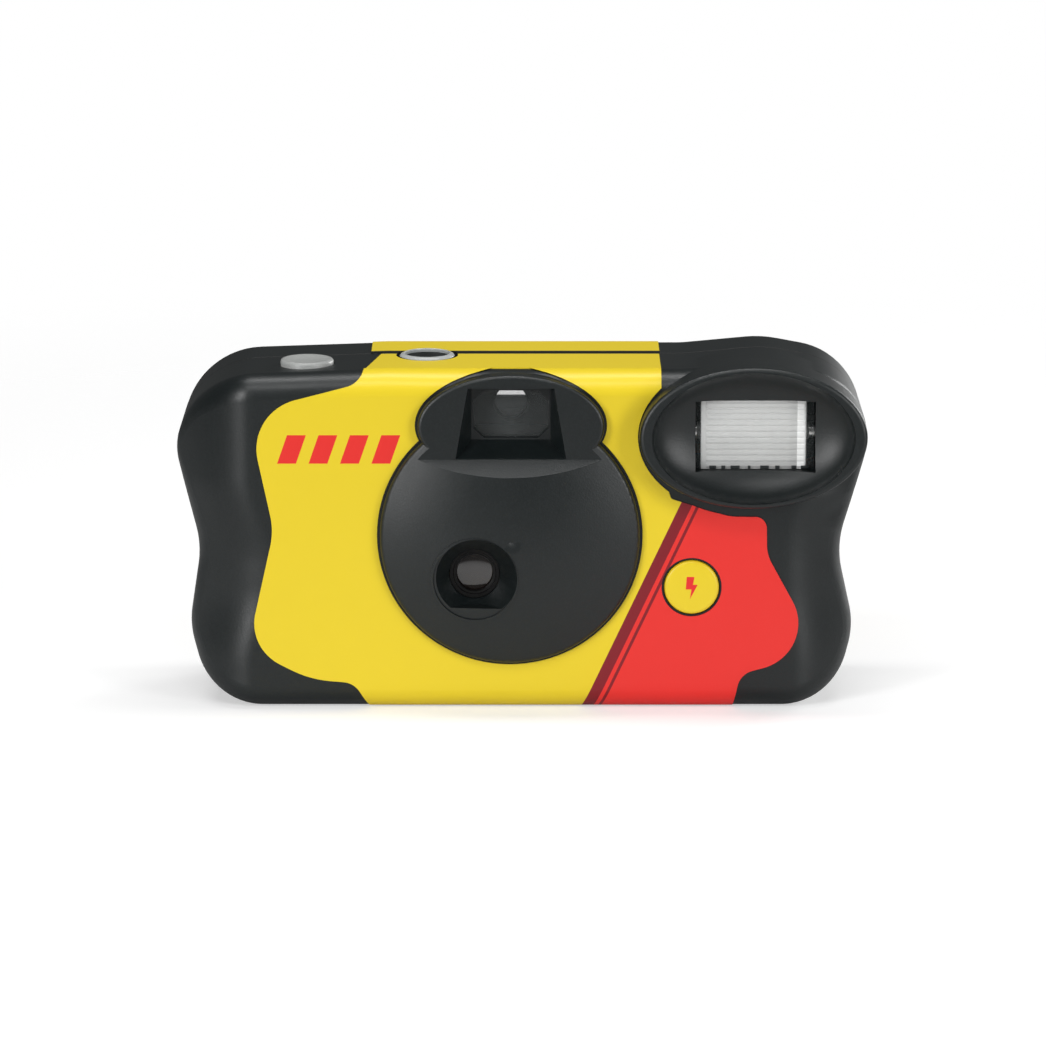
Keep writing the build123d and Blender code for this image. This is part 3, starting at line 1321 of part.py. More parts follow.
def make_buttons():
    """Shutter button with its spring, and the flash charge button."""
    flange_top_z = button_surface_z - wall - button_fit
    flange_base_z = flange_top_z - button_flange_thickness
    with BuildPart() as button:
        post(button_x, button_y, (flange_base_z, button_surface_z + button_proud), button_radius)
        fillet(button.edges().filter_by(GeomType.CIRCLE).sort_by(Axis.Z)[-1], button_proud / 2)
        post(button_x, button_y, (flange_base_z, flange_top_z), button_radius + button_flange_rim)
        post(stem_x, button_y, (plate_z, flange_base_z), button_stem_radius)
    keep(button, "shutter_button")
    room = flange_base_z - plate_top_z - button_spring_wire - 2 * running_fit
    keep(coil((stem_x, button_y, plate_top_z + running_fit + button_spring_wire / 2), (0, 0, 1),
              button_stem_radius + button_fit + button_spring_wire, button_spring_turns,
              button_spring_wire, room / button_spring_turns), "button_spring")
    flange_y = inner_front_y + running_fit
    flange_back_y = flange_y + flash_button_flange_thickness
    with BuildPart() as flash_button:
        spindle(flash_button_x, flash_button_z, (front_y - flash_button_proud, flange_back_y),
                flash_button_radius)
        fillet(flash_button.edges().filter_by(GeomType.CIRCLE).sort_by(Axis.Y)[0], flash_button_proud / 2)
        spindle(flash_button_x, flash_button_z, (flange_y, flange_back_y),
                flash_button_radius + flash_button_flange_rim)
        spindle(flash_button_x, flash_button_z,
                (flange_back_y, flange_back_y + flash_button_stem_length), flash_button_stem_radius)
    keep(flash_button, "flash_button")


keep(make_front_cover(), "front_cover")
keep(make_rear_cover(), "rear_cover")
keep(make_front_label(), "front_label")
keep(make_rear_label(), "rear_label")
make_windows()
make_cartridge()
make_winder()
make_film()
make_frame()
make_mechanism()
make_shutter()
make_lens()
make_battery()
make_flash()
make_buttons()

os.makedirs("parts", exist_ok=True)
for piece in made:
    export_step(piece, f"parts/{piece.label}.step")
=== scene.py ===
"""Looks of a disposable film camera with flash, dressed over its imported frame.

Everything is in metres, +Z up, with the lens facing -Y, as in the frame.
"""
import logging
from collections.abc import Iterable
from dataclasses import dataclass, field
from enum import Enum
from math import cos, pi, radians, sin, sqrt

import bmesh
import bpy
from mathutils import Matrix, Vector

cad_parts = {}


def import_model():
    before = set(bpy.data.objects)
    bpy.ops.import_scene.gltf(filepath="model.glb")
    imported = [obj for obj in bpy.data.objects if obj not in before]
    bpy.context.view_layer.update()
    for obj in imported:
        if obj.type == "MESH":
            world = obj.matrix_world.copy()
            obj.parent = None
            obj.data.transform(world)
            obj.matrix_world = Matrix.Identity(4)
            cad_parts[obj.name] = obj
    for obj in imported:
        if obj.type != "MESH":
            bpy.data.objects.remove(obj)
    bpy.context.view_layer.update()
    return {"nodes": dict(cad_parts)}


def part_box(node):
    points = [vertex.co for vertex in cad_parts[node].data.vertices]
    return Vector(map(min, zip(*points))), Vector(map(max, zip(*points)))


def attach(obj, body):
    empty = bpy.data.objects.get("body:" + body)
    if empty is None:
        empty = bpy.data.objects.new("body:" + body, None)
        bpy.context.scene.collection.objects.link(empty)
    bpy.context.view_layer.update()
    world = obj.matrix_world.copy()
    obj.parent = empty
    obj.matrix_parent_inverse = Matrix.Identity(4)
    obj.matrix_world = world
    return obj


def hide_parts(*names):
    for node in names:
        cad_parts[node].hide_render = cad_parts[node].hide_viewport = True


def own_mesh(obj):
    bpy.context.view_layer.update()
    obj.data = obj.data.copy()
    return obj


log = logging.getLogger("disposable_camera")
MM = 0.001
# Vertices nearer than this are one, and edges bent by more than this many degrees stay sharp.
MERGE = 1e-7
SHARP_ANGLE = 35.0
Colour = tuple[float, float, float]
Point = tuple[float, float, float]
Point2 = tuple[float, float]
Profile = tuple[Point2, ...]


class Style(Enum):
    """How a piece's faces are shaded."""

    FLAT = "flat"
    SMOOTH = "smooth"


class Socket:
    """A shader socket whose arithmetic adds Math nodes."""

    def __init__(self, tree: bpy.types.NodeTree, link: bpy.types.NodeSocket) -> None:
        """Wrap one output socket of a node tree."""
        self.tree = tree
        self.link = link

    def _math(self, operation: str, first: "Socket | float", second: "Socket | float") -> "Socket":
        """Join two values with one Math node.

        Args:
            operation: Math node operation.
            first: Left-hand value.
            second: Right-hand value.

        Returns:
            The node's result.
        """
        node = self.tree.nodes.new("ShaderNodeMath")
        node.operation = operation
        for slot, value in zip(node.inputs, (first, second)):
            if isinstance(value, Socket):
                self.tree.links.new(value.link, slot)
            else:
                slot.default_value = value
        return Socket(self.tree, node.outputs[0])

    def __add__(self, other: "Socket | float") -> "Socket":
        """Sum."""
        return self._math("ADD", self, other)

    def __sub__(self, other: "Socket | float") -> "Socket":
        """Difference."""
        return self._math("SUBTRACT", self, other)

    def __rsub__(self, other: float) -> "Socket":
        """Difference from a number."""
        return self._math("SUBTRACT", other, self)

    def __mul__(self, other: "Socket | float") -> "Socket":
        """Product."""
        return self._math("MULTIPLY", self, other)

    __radd__ = __add__
    __rmul__ = __mul__

    def __gt__(self, other: "Socket | float") -> "Socket":
        """One where this value is the larger."""
        return self._math("GREATER_THAN", self, other)

    def __lt__(self, other: "Socket | float") -> "Socket":
        """One where this value is the smaller."""
        return self._math("LESS_THAN", self, other)

    def __mod__(self, other: float) -> "Socket":
        """Remainder after whole steps, never negative."""
        return self._math("FLOORED_MODULO", self, other)

    def __or__(self, other: "Socket") -> "Socket":
        """Larger of two values."""
        return self._math("MAXIMUM", self, other)

    def __abs__(self) -> "Socket":
        """Size without sign."""
        return self._math("ABSOLUTE", self, 0.0)


class Finish:
    """One procedural material under construction."""

    def __init__(self, name: str) -> None:
        """Start a material of that name with a Principled shader."""
        self.material = bpy.data.materials.new(name)
        self.material.use_nodes = True
        self.tree = self.material.node_tree
        self.shader = self.tree.nodes["Principled BSDF"]

    def node(self, kind: str, settings: dict | None = None, **values: object) -> bpy.types.Node:
        """Add a node.

        Args:
            kind: Node type without its ShaderNode prefix.
            settings: Attributes set first; "stops" fills a colour ramp.
            values: Input socket names, with _ for a blank, and what feeds them.

        Returns:
            The new node.
        """
        node = self.tree.nodes.new("ShaderNode" + kind)
        for key, value in (settings or {}).items():
            if key == "stops":
                for place, (position, colour) in enumerate(value):
                    ramp = node.color_ramp.elements
                    stop = ramp[place] if place < len(ramp) else ramp.new(position)
                    stop.position = position
                    stop.color = (*colour, 1.0)
            else:
                setattr(node, key, value)
        for key, value in values.items():
            self.feed(node, key.replace("_", " "), value)
        return node

    def feed(self, node: bpy.types.Node, name: str, value: object) -> None:
        """Link or set one input of a node.

        Args:
            node: Node whose input it is.
            name: Name of the input, or its place as digits.
            value: What feeds it.
        """
        slot = node.inputs[int(name)] if name.strip().isdigit() else node.inputs[name]
        if isinstance(value, Socket):
            self.tree.links.new(value.link, slot)
        elif isinstance(value, tuple) and len(value) == 3 and slot.type == "RGBA":
            slot.default_value = (*value, 1.0)
        else:
            slot.default_value = value

    def out(self, node: bpy.types.Node, name: str | int = 0) -> Socket:
        """Output of a node, wrapped for arithmetic."""
        return Socket(self.tree, node.outputs[name])

    def place(self, centre: Iterable[float] = (0, 0, 0), turn: Iterable[float] = (0, 0, 0)) -> Socket:
        """Object coordinates, moved so that centre is at zero and then turned.

        Args:
            centre: Point that becomes the origin, in metres.
            turn: Turn about X, Y and Z, in radians.

        Returns:
            The coordinates.
        """
        where = self.out(self.node("TexCoord"), "Object")
        node = self.node("Mapping", {"vector_type": "TEXTURE"})
        self.tree.links.new(where.link, node.inputs["Vector"])
        node.inputs["Location"].default_value = tuple(centre)
        node.inputs["Rotation"].default_value = tuple(turn)
        return self.out(node)

    def axes(self, where: Socket) -> tuple[Socket, Socket, Socket]:
        """X, Y and Z of a vector."""
        node = self.node("SeparateXYZ", None, Vector=where)
        return self.out(node, 0), self.out(node, 1), self.out(node, 2)

    def radius(self, where: Socket) -> Socket:
        """Distance of a vector's end from the origin."""
        node = self.node("VectorMath", {"operation": "LENGTH"})
        self.tree.links.new(where.link, node.inputs[0])
        return self.out(node, "Value")

    def noise(self, scale: float, detail: float = 2.0, where: Socket | None = None) -> Socket:
        """Noise over the surface.

        Args:
            scale: Features per metre.
            detail: Octaves.
            where: Coordinates, the object's own unless given.

        Returns:
            The noise, about one half on average.
        """
        return self.out(self.node("TexNoise", None, Vector=where or self.place(), Scale=scale,
                                  Detail=detail), 0)

    def mix(self, share: Socket | float, low: "Socket | Colour", high: "Socket | Colour") -> Socket:
        """Blend two colours.

        Args:
            share: 0 for the first colour, 1 for the second.
            low: First colour.
            high: Second colour.

        Returns:
            The blend.
        """
        node = self.node("Mix", {"data_type": "RGBA"}, Factor=share)
        self.feed(node, "6", low)
        self.feed(node, "7", high)
        return self.out(node, 2)

    def ramp(self, value: Socket, low: float, high: float) -> Socket:
        """Stretch a value with soft ends.

        Args:
            value: What is stretched.
            low: Where the result is 0.
            high: Where the result is 1.

        Returns:
            The stretched value.
        """
        node = self.node("MapRange", {"interpolation_type": "SMOOTHSTEP"}, Value=value)
        node.inputs["From Min"].default_value = low
        node.inputs["From Max"].default_value = high
        return self.out(node)

    def bump(self, height: Socket, depth: float, strength: float = 1.0) -> None:
        """Roughen the surface.

        Args:
            height: Height, as a share of the depth.
            depth: Depth in metres.
            strength: Share of the effect.
        """
        node = self.node("Bump", None, Height=height, Distance=depth, Strength=strength)
        self.feed(self.shader, "Normal", self.out(node))

    def set(self, **values: object) -> "Finish":
        """Set or link inputs of the Principled shader."""
        for key, value in values.items():
            self.feed(self.shader, key.replace("_", " "), value)
        return self


def scaled(colour: Colour, share: float) -> Colour:
    """Colour made darker or lighter by a factor."""
    return tuple(share * part for part in colour)


@dataclass(frozen=True)
class Swell:
    """Soft swelling of both grips, told to the shading only.

    Each grip rises from the casing's side over a width; the casing is drawn in at its waist.
    """

    side: float = 59.8 * MM
    width: float = 13.0 * MM
    rise: float = 3.5 * MM
    waist_z: float = 24.0 * MM
    waist_near: float = 2.0 * MM
    waist_far: float = 17.0 * MM
    waist_left: float = 4.4 * MM
    waist_right: float = 2.4 * MM
    flash_low: float = 31.0 * MM
    flash_high: float = 38.0 * MM

    def height(self, finish: Finish) -> Socket:
        """Height of the swelling in metres."""
        x, _, z = finish.axes(finish.place())
        waist = 1.0 - finish.ramp(abs(z - self.waist_z), self.waist_near, self.waist_far)
        left = finish.ramp(x - waist * self.waist_left, -self.side, self.width - self.side)
        right = finish.ramp(x + waist * self.waist_right, self.side - self.width, self.side)
        below = 1.0 - finish.ramp(z, self.flash_low, self.flash_high)
        return (left - right * below) * self.rise


@dataclass(frozen=True)
class MouldedPlastic:
    """Plastic with the fine spark-eroded grain of a mould, rubbed a little smoother in places, its
    grain tops painted lighter as a painted sparkle.

    The joint between the two covers can be drawn as a groove at one place along Y.
    """

    name: str
    colour: Colour
    lighter: Colour
    roughness: float = 0.42
    specular: float = 0.4
    grain: float = 3200.0
    grain_depth: float = 0.02 * MM
    lit_grain: tuple[float, float] = (0.42, 0.75)
    lit_share: float = 0.6
    cloud: float = 90.0
    cloud_rough: float = 0.12
    grain_rough: float = 0.1
    seam_y: float | None = None
    groove_edge: tuple[float, float] = (0.15 * MM, 0.30 * MM)
    groove_depth: float = 0.10 * MM
    groove_colour: Colour = (0.0004, 0.0005, 0.0005)
    swell: Swell | None = None

    def build(self) -> bpy.types.Material:
        """Make the material and return it."""
        finish = Finish(self.name)
        grain = finish.noise(self.grain, 3.0)
        cloud = finish.noise(self.cloud, 3.0)
        # Painted sparkle: the grain's raised points get the lighter colour, as if they caught the
        # light.
        painted_sparkle = finish.ramp(grain, *self.lit_grain) * self.lit_share
        colour = finish.mix(painted_sparkle, self.colour, self.lighter)
        rough = self.roughness + (cloud - 0.5) * self.cloud_rough + (grain - 0.5) * self.grain_rough
        height = grain * self.grain_depth
        if self.seam_y is not None:
            y = finish.axes(finish.place())[1]
            groove = 1.0 - finish.ramp(abs(y - self.seam_y), *self.groove_edge)
            colour = finish.mix(groove, colour, self.groove_colour)
            height = height - groove * self.groove_depth
        if self.swell is not None:
            height = height + self.swell.height(finish)
        finish.bump(height, 1.0)
        finish.set(Base_Color=colour, Roughness=rough)
        finish.shader.inputs["Specular IOR Level"].default_value = self.specular
        return finish.material


@dataclass(frozen=True)
class PrintedLabel:
    """Satin printed label: yellow field, red field, straight dark stripes and a row of red bars."""

    name: str
    yellow: Colour = (0.87, 0.66, 0.022)
    red: Colour = (0.84, 0.030, 0.024)
    wine: Colour = (0.235, 0.008, 0.016)
    gap: Colour = (0.006, 0.007, 0.007)
    worn: float = 0.965
    split: Point = (20.5 * MM, 0.0, 22.0 * MM)
    lean: float = 25.0
    stripes: Profile = ((0.0, 1.9 * MM), (2.6 * MM, 3.1 * MM))
    bars_centre: Point = (-30.4 * MM, 0.0, 46.2 * MM)
    bars_half: tuple[float, float] = (10.8 * MM, 2.5 * MM)
    bars_pitch: float = 5.4 * MM
    bars_share: float = 0.6
    bars_slant: float = 0.35
    front_y: float = -6.0 * MM
    seam_y: float = 4.5 * MM
    seam_edge: tuple[float, float] = (1.3 * MM, 1.4 * MM)
    roughness: float = 0.36
    plain: bool = False

    def bars(self, finish: Finish) -> Socket:
        """One on a row of slanted bars on the front of the label.

        Args:
            finish: Material under construction.

        Returns:
            The share of the bars' colour.
        """
        x, y, z = finish.axes(finish.place(self.bars_centre))
        leaned = x - z * self.bars_slant
        wide, high = self.bars_half
        row = (abs(leaned) < wide) * (abs(z) < high) * (y < self.front_y)
        return row * (((leaned + wide) % self.bars_pitch) < self.bars_pitch * self.bars_share)

    def build(self) -> bpy.types.Material:
        """Make the material and return it."""
        finish = Finish(self.name)
        fibre = finish.noise(1100.0, 3.0)
        cloud = finish.noise(30.0, 2.0)
        colour = finish.mix(cloud * 0.5, self.yellow, scaled(self.yellow, self.worn))
        if not self.plain:
            across = finish.axes(finish.place(self.split, (0.0, radians(self.lean), 0.0)))[0]
            colour = finish.mix(across > 0.0, colour, self.red)
            for near, far in self.stripes:
                colour = finish.mix((across > near) * (across < far), colour, self.wine)
            colour = finish.mix(self.bars(finish), colour, self.red)
        y = finish.axes(finish.place())[1]
        seam = 1.0 - finish.ramp(abs(y - self.seam_y), *self.seam_edge)
        colour = finish.mix(seam, colour, self.gap)
        finish.bump(cloud + fibre * 0.05 - seam, 0.03 * MM, 0.2)
        finish.set(Base_Color=colour, Roughness=self.roughness + (fibre - 0.5) * 0.06)
        finish.shader.inputs["Specular IOR Level"].default_value = 0.5
        return finish.material


@dataclass(frozen=True)
class ClearPlastic:
    """Thin clear moulding: mostly see-through, glossy, a little uneven and faintly scuffed."""

    name: str
    colour: Colour = (0.86, 0.88, 0.88)
    cover: float = 0.22
    roughness: float = 0.06
    scuff_rough: float = 0.08
    scuff_cover: float = 0.06

    def build(self) -> bpy.types.Material:
        """Make the material and return it."""
        finish = Finish(self.name)
        flow = finish.noise(160.0, 2.0)
        scuff = finish.ramp(finish.noise(1400.0, 5.0), 0.62, 0.8)
        finish.bump(flow, 0.02 * MM, 0.2)
        finish.set(Base_Color=self.colour, Roughness=self.roughness + scuff * self.scuff_rough,
                   Alpha=self.cover + scuff * self.scuff_cover)
        finish.shader.inputs["Specular IOR Level"].default_value = 1.0
        finish.shader.inputs["Coat Weight"].default_value = 1.0
        return finish.material


@dataclass(frozen=True)
class FlashPlastic:
    """Ribbed flash window: milky before the reflector, clear at its margins, one bright edge."""

    centre: Point = (40.1 * MM, 0.0, 48.45 * MM)
    field_half: float = 8.9 * MM
    field_shift: float = -0.3 * MM
    field_fade: float = 0.3 * MM
    edge: tuple[float, float] = (7.2 * MM, 8.6 * MM)
    edge_cover: float = 0.5
    margin_cover: float = 0.10
    field_cover: float = 0.22
    haze_cover: float = 0.22
    haze_z: tuple[float, float] = (-6.0 * MM, 7.0 * MM)
    haze_wave: float = 4.0 * MM
    colour: Colour = (0.93, 0.94, 0.93)
    margin: Colour = (0.10, 0.12, 0.12)
    name: str = "flash_plastic"

    def build(self) -> bpy.types.Material:
        """Make the material and return it."""
        finish = Finish(self.name)
        x, _, z = finish.axes(finish.place(self.centre))
        inside = 1.0 - finish.ramp(abs(x - self.field_shift), self.field_half,
                                   self.field_half + self.field_fade)
        edge = (x > self.edge[0]) * (x < self.edge[1])
        flow = finish.noise(220.0, 3.0)
        haze = finish.ramp(z + flow * self.haze_wave, *self.haze_z)
        milky = self.field_cover + haze * self.haze_cover
        cover = self.margin_cover + inside * milky + edge * self.edge_cover
        finish.bump(flow, 0.1 * MM, 0.4)
        finish.set(Base_Color=finish.mix(inside, self.margin, self.colour),
                   Roughness=0.10 + flow * 0.08, Alpha=cover)
        finish.shader.inputs["Coat Weight"].default_value = 1.0
        return finish.material


@dataclass(frozen=True)
class SheetMetal:
    """Rolled or drawn metal with fine lines along one axis."""

    name: str
    colour: Colour
    roughness: float = 0.25
    lines: Point = (60.0, 60.0, 3000.0)
    dull: float = 0.1
    tarnish: float = 0.7

    def build(self) -> bpy.types.Material:
        """Make the material and return it."""
        finish = Finish(self.name)
        where = finish.node("VectorMath", {"operation": "MULTIPLY"})
        finish.tree.links.new(finish.place().link, where.inputs[0])
        where.inputs[1].default_value = self.lines
        brush = finish.noise(1.0, 3.0, finish.out(where))
        spots = finish.ramp(finish.noise(240.0, 3.0), 0.45, 0.8)
        darker = scaled(self.colour, self.tarnish)
        finish.set(Base_Color=finish.mix(spots * 0.4, self.colour, darker),
                   Roughness=self.roughness + brush * self.dull)
        finish.shader.inputs["Metallic"].default_value = 1.0
        finish.bump(brush, 0.02 * MM, 0.2)
        return finish.material


@dataclass(frozen=True)
class PaintedMetal:
    """Lacquered metal with a stripe round it, as on a film cartridge or a battery."""

    name: str
    colour: Colour
    band: Colour
    axis: int = 2
    low: float = 0.0
    high: float = 0.0
    roughness: float = 0.3

    def build(self) -> bpy.types.Material:
        """Make the material and return it."""
        finish = Finish(self.name)
        along = finish.axes(finish.place())[self.axis]
        band = (along > self.low) * (along < self.high)
        chips = finish.ramp(finish.noise(700.0, 4.0), 0.66, 0.74)
        colour = finish.mix(band, self.colour, self.band)
        colour = finish.mix(chips * 0.3, colour, scaled(self.colour, 0.5))
        finish.set(Base_Color=colour, Roughness=self.roughness + finish.noise(300.0) * 0.1)
        finish.bump(chips, 0.01 * MM, 0.4)
        return finish.material


@dataclass(frozen=True)
class Felt:
    """Black light-trap felt with short fibres."""

    name: str = "light_trap_felt"
    shade: Colour = (0.004, 0.004, 0.004)
    tips: Colour = (0.03, 0.03, 0.03)

    def build(self) -> bpy.types.Material:
        """Make the material and return it."""
        finish = Finish(self.name)
        fibre = finish.noise(5200.0, 4.0)
        finish.set(Base_Color=finish.mix(fibre, self.shade, self.tips), Roughness=0.9 + fibre * 0.1)
        finish.shader.inputs["Sheen Weight"].default_value = 0.4
        finish.bump(fibre, 0.1 * MM, 0.8)
        return finish.material


@dataclass(frozen=True)
class FilmBase:
    """Unexposed colour film: glossy brown, a little uneven in tone."""

    name: str = "film_base"
    dark: Colour = (0.20, 0.075, 0.035)
    light: Colour = (0.26, 0.105, 0.05)

    def build(self) -> bpy.types.Material:
        """Make the material and return it."""
        finish = Finish(self.name)
        layer = finish.noise(40.0, 2.0)
        finish.set(Base_Color=finish.mix(layer, self.dark, self.light),
                   Roughness=0.22 + finish.noise(900.0) * 0.1)
        finish.bump(layer, 0.05 * MM, 0.2)
        return finish.material


@dataclass(frozen=True)
class BoardLaminate:
    """Brown circuit board with copper lines under a green varnish."""

    name: str = "board_laminate"
    weave: tuple[Colour, Colour] = ((0.17, 0.10, 0.035), (0.24, 0.15, 0.06))
    varnish: Colour = (0.06, 0.16, 0.045)
    pitch: tuple[float, float] = (4.6 * MM, 5.2 * MM)
    bare: tuple[float, float] = (3.0 * MM, 4.0 * MM)

    def build(self) -> bpy.types.Material:
        """Make the material and return it."""
        finish = Finish(self.name)
        x, _, z = finish.axes(finish.place())
        lines = ((x % self.pitch[0]) > self.bare[0]) + ((z % self.pitch[1]) > self.bare[1])
        weave = finish.noise(1800.0, 2.0)
        copper = finish.mix(lines * 0.8, finish.mix(weave, *self.weave), self.varnish)
        finish.set(Base_Color=copper, Roughness=0.35 + weave * 0.2)
        finish.bump(lines + weave * 0.2, 0.04 * MM, 0.5)
        return finish.material


@dataclass(frozen=True)
class DialPrint:
    """Pale dial with fine radial ticks and a ring, about one centre."""

    centre: Point
    ring: tuple[float, float]
    ticks: int
    line: float = 0.35 * MM
    tick_share: float = 1 / 7
    pale: tuple[Colour, Colour] = ((0.42, 0.46, 0.43), (0.36, 0.40, 0.37))
    ink: Colour = (0.02, 0.02, 0.02)
    name: str = "dial_print"

    def build(self) -> bpy.types.Material:
        """Make the material and return it."""
        finish = Finish(self.name)
        where = finish.place(self.centre)
        x, y, _ = finish.axes(where)
        around = finish.out(finish.node("Math", {"operation": "ARCTAN2"}, **{"0": y, "1": x}))
        far = finish.radius(where)
        step = 2 * pi / self.ticks
        tick = (abs((around % step) - step / 2) < step * self.tick_share / 2) * (far > self.ring[1])
        ring = (far > self.ring[0]) * (far < self.ring[0] + self.line)
        fine = finish.noise(2400.0, 2.0)
        colour = finish.mix(tick + ring, finish.mix(fine, *self.pale), self.ink)
        finish.set(Base_Color=colour, Roughness=0.4 + fine * 0.15)
        finish.bump(fine, 0.02 * MM, 0.4)
        return finish.material


@dataclass(frozen=True)
class Ground:
    """Pale studio floor that fades into the white surroundings away from the object."""

    colour: Colour
    glow: float = 0.46
    near: float = 0.14
    far: float = 0.40
    worn: float = 0.985
    name: str = "studio_floor"

    def build(self) -> bpy.types.Material:
        """Make the material and return it."""
        finish = Finish(self.name)
        soft = finish.noise(3.0, 2.0)
        fade = finish.ramp(finish.radius(finish.place()), self.near, self.far)
        seen = finish.out(finish.node("LightPath"), "Is Camera Ray")
        finish.set(Base_Color=finish.mix(soft, self.colour, scaled(self.colour, self.worn)),
                   Roughness=0.9, Alpha=1.0 - fade,
                   Emission_Color=finish.mix(seen, (0.0, 0.0, 0.0), (self.glow,) * 3))
        finish.shader.inputs["Emission Strength"].default_value = 1.0
        return finish.material


def new_piece(name: str, shape: bmesh.types.BMesh, material: bpy.types.Material, body: str,
              style: Style = Style.SMOOTH) -> bpy.types.Object:
    """Turn a bmesh into a piece that rides on a body.

    Args:
        name: Name of the piece.
        shape: Its geometry, in metres; it is freed here.
        material: Its finish.
        body: CAD body that it moves with.
        style: Flat or smooth shading.

    Returns:
        The new object.
    """
    bmesh.ops.remove_doubles(shape, verts=shape.verts, dist=MERGE)
    bmesh.ops.recalc_face_normals(shape, faces=shape.faces)
    mesh = bpy.data.meshes.new(name)
    shape.to_mesh(mesh)
    shape.free()
    if style is Style.SMOOTH:
        mesh.shade_smooth()
        mesh.set_sharp_from_angle(angle=radians(SHARP_ANGLE))
    piece = bpy.data.objects.new(name, mesh)
    bpy.context.scene.collection.objects.link(piece)
    piece.data.materials.append(material)
    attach(piece, body)
    log.info("piece %s on body %s: %d faces", name, body, len(mesh.polygons))
    return piece


def slab(size: Iterable[float], centre: Iterable[float], rounding: float) -> bmesh.types.BMesh:
    """Box with rounded edges.

    Args:
        size: Lengths along X, Y and Z.
        centre: Its middle.
        rounding: Radius of its edges.

    Returns:
        The box.
    """
    shape = bmesh.new()
    bmesh.ops.create_cube(shape, size=1.0)
    bmesh.ops.scale(shape, vec=Vector(size), verts=shape.verts)
    if rounding:
        bmesh.ops.bevel(shape, geom=list(shape.edges), offset=rounding, segments=2,
                        affect="EDGES", profile=0.5, material=-1, clamp_overlap=True)
    bmesh.ops.translate(shape, vec=Vector(centre), verts=shape.verts)
    return shape


def lathe(profile: Iterable[Point2], centre: Iterable[float], axis: str = "Z",
          steps: int = 96) -> bmesh.types.BMesh:
    """Profile of radius and height turned fully about an axis.

    Args:
        profile: Radius and height of each point, from one end to the other.
        centre: Where the axis has height zero.
        axis: "Z" for upright, "Y" for a piece whose height points to the front.
        steps: Steps in the full turn.

    Returns:
        The turned shape.
    """
    shape = bmesh.new()
    chain = [shape.verts.new((radius, 0.0, height)) for radius, height in profile]
    edges = [shape.edges.new(pair) for pair in zip(chain, chain[1:])]
    bmesh.ops.spin(shape, geom=chain + edges, cent=(0, 0, 0), axis=(0, 0, 1), angle=2 * pi,
                   steps=steps, use_merge=True, use_normal_flip=False, use_duplicate=False)
    bmesh.ops.remove_doubles(shape, verts=shape.verts, dist=MERGE)
    if axis == "Y":
        bmesh.ops.rotate(shape, cent=(0, 0, 0), matrix=Matrix.Rotation(pi / 2, 3, "X"),
                         verts=shape.verts)
    bmesh.ops.translate(shape, vec=Vector(centre), verts=shape.verts)
    return shape


def join(shapes: Iterable[bmesh.types.BMesh]) -> bmesh.types.BMesh:
    """Put several shapes into one; the originals are freed."""
    whole = bmesh.new()
    for shape in shapes:
        mesh = bpy.data.meshes.new("part")
        shape.to_mesh(mesh)
        shape.free()
        whole.from_mesh(mesh)
        bpy.data.meshes.remove(mesh)
    return whole


def plate(outline: Iterable[Point2], depth: float, place: Matrix) -> bmesh.types.BMesh:
    """Flat shape of an outline with a thickness.

    Args:
        outline: Corners in X and Y.
        depth: Thickness, upwards from the outline.
        place: Where the flat shape goes.

    Returns:
        The plate.
    """
    shape = bmesh.new()
    face = shape.faces.new([shape.verts.new((x, y, 0.0)) for x, y in outline])
    grown = bmesh.ops.extrude_face_region(shape, geom=[face])
    verts = [item for item in grown["geom"] if isinstance(item, bmesh.types.BMVert)]
    bmesh.ops.translate(shape, vec=(0, 0, depth), verts=verts)
    bmesh.ops.transform(shape, matrix=place, verts=shape.verts)
    return shape


def in_mm(profile: Profile) -> list[Point2]:
    """Profile given in millimetres, in metres."""
    return [(first * MM, second * MM) for first, second in profile]


def middle(node: str) -> Vector:
    """Middle of a CAD node's box."""
    low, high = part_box(node)
    return (low + high) / 2


def facing_front(x: float, y: float, z: float) -> Matrix:
    """Placement that stands a flat shape up to face the front at a point."""
    return Matrix.Translation((x, y, z)) @ Matrix.Rotation(pi / 2, 4, "X")


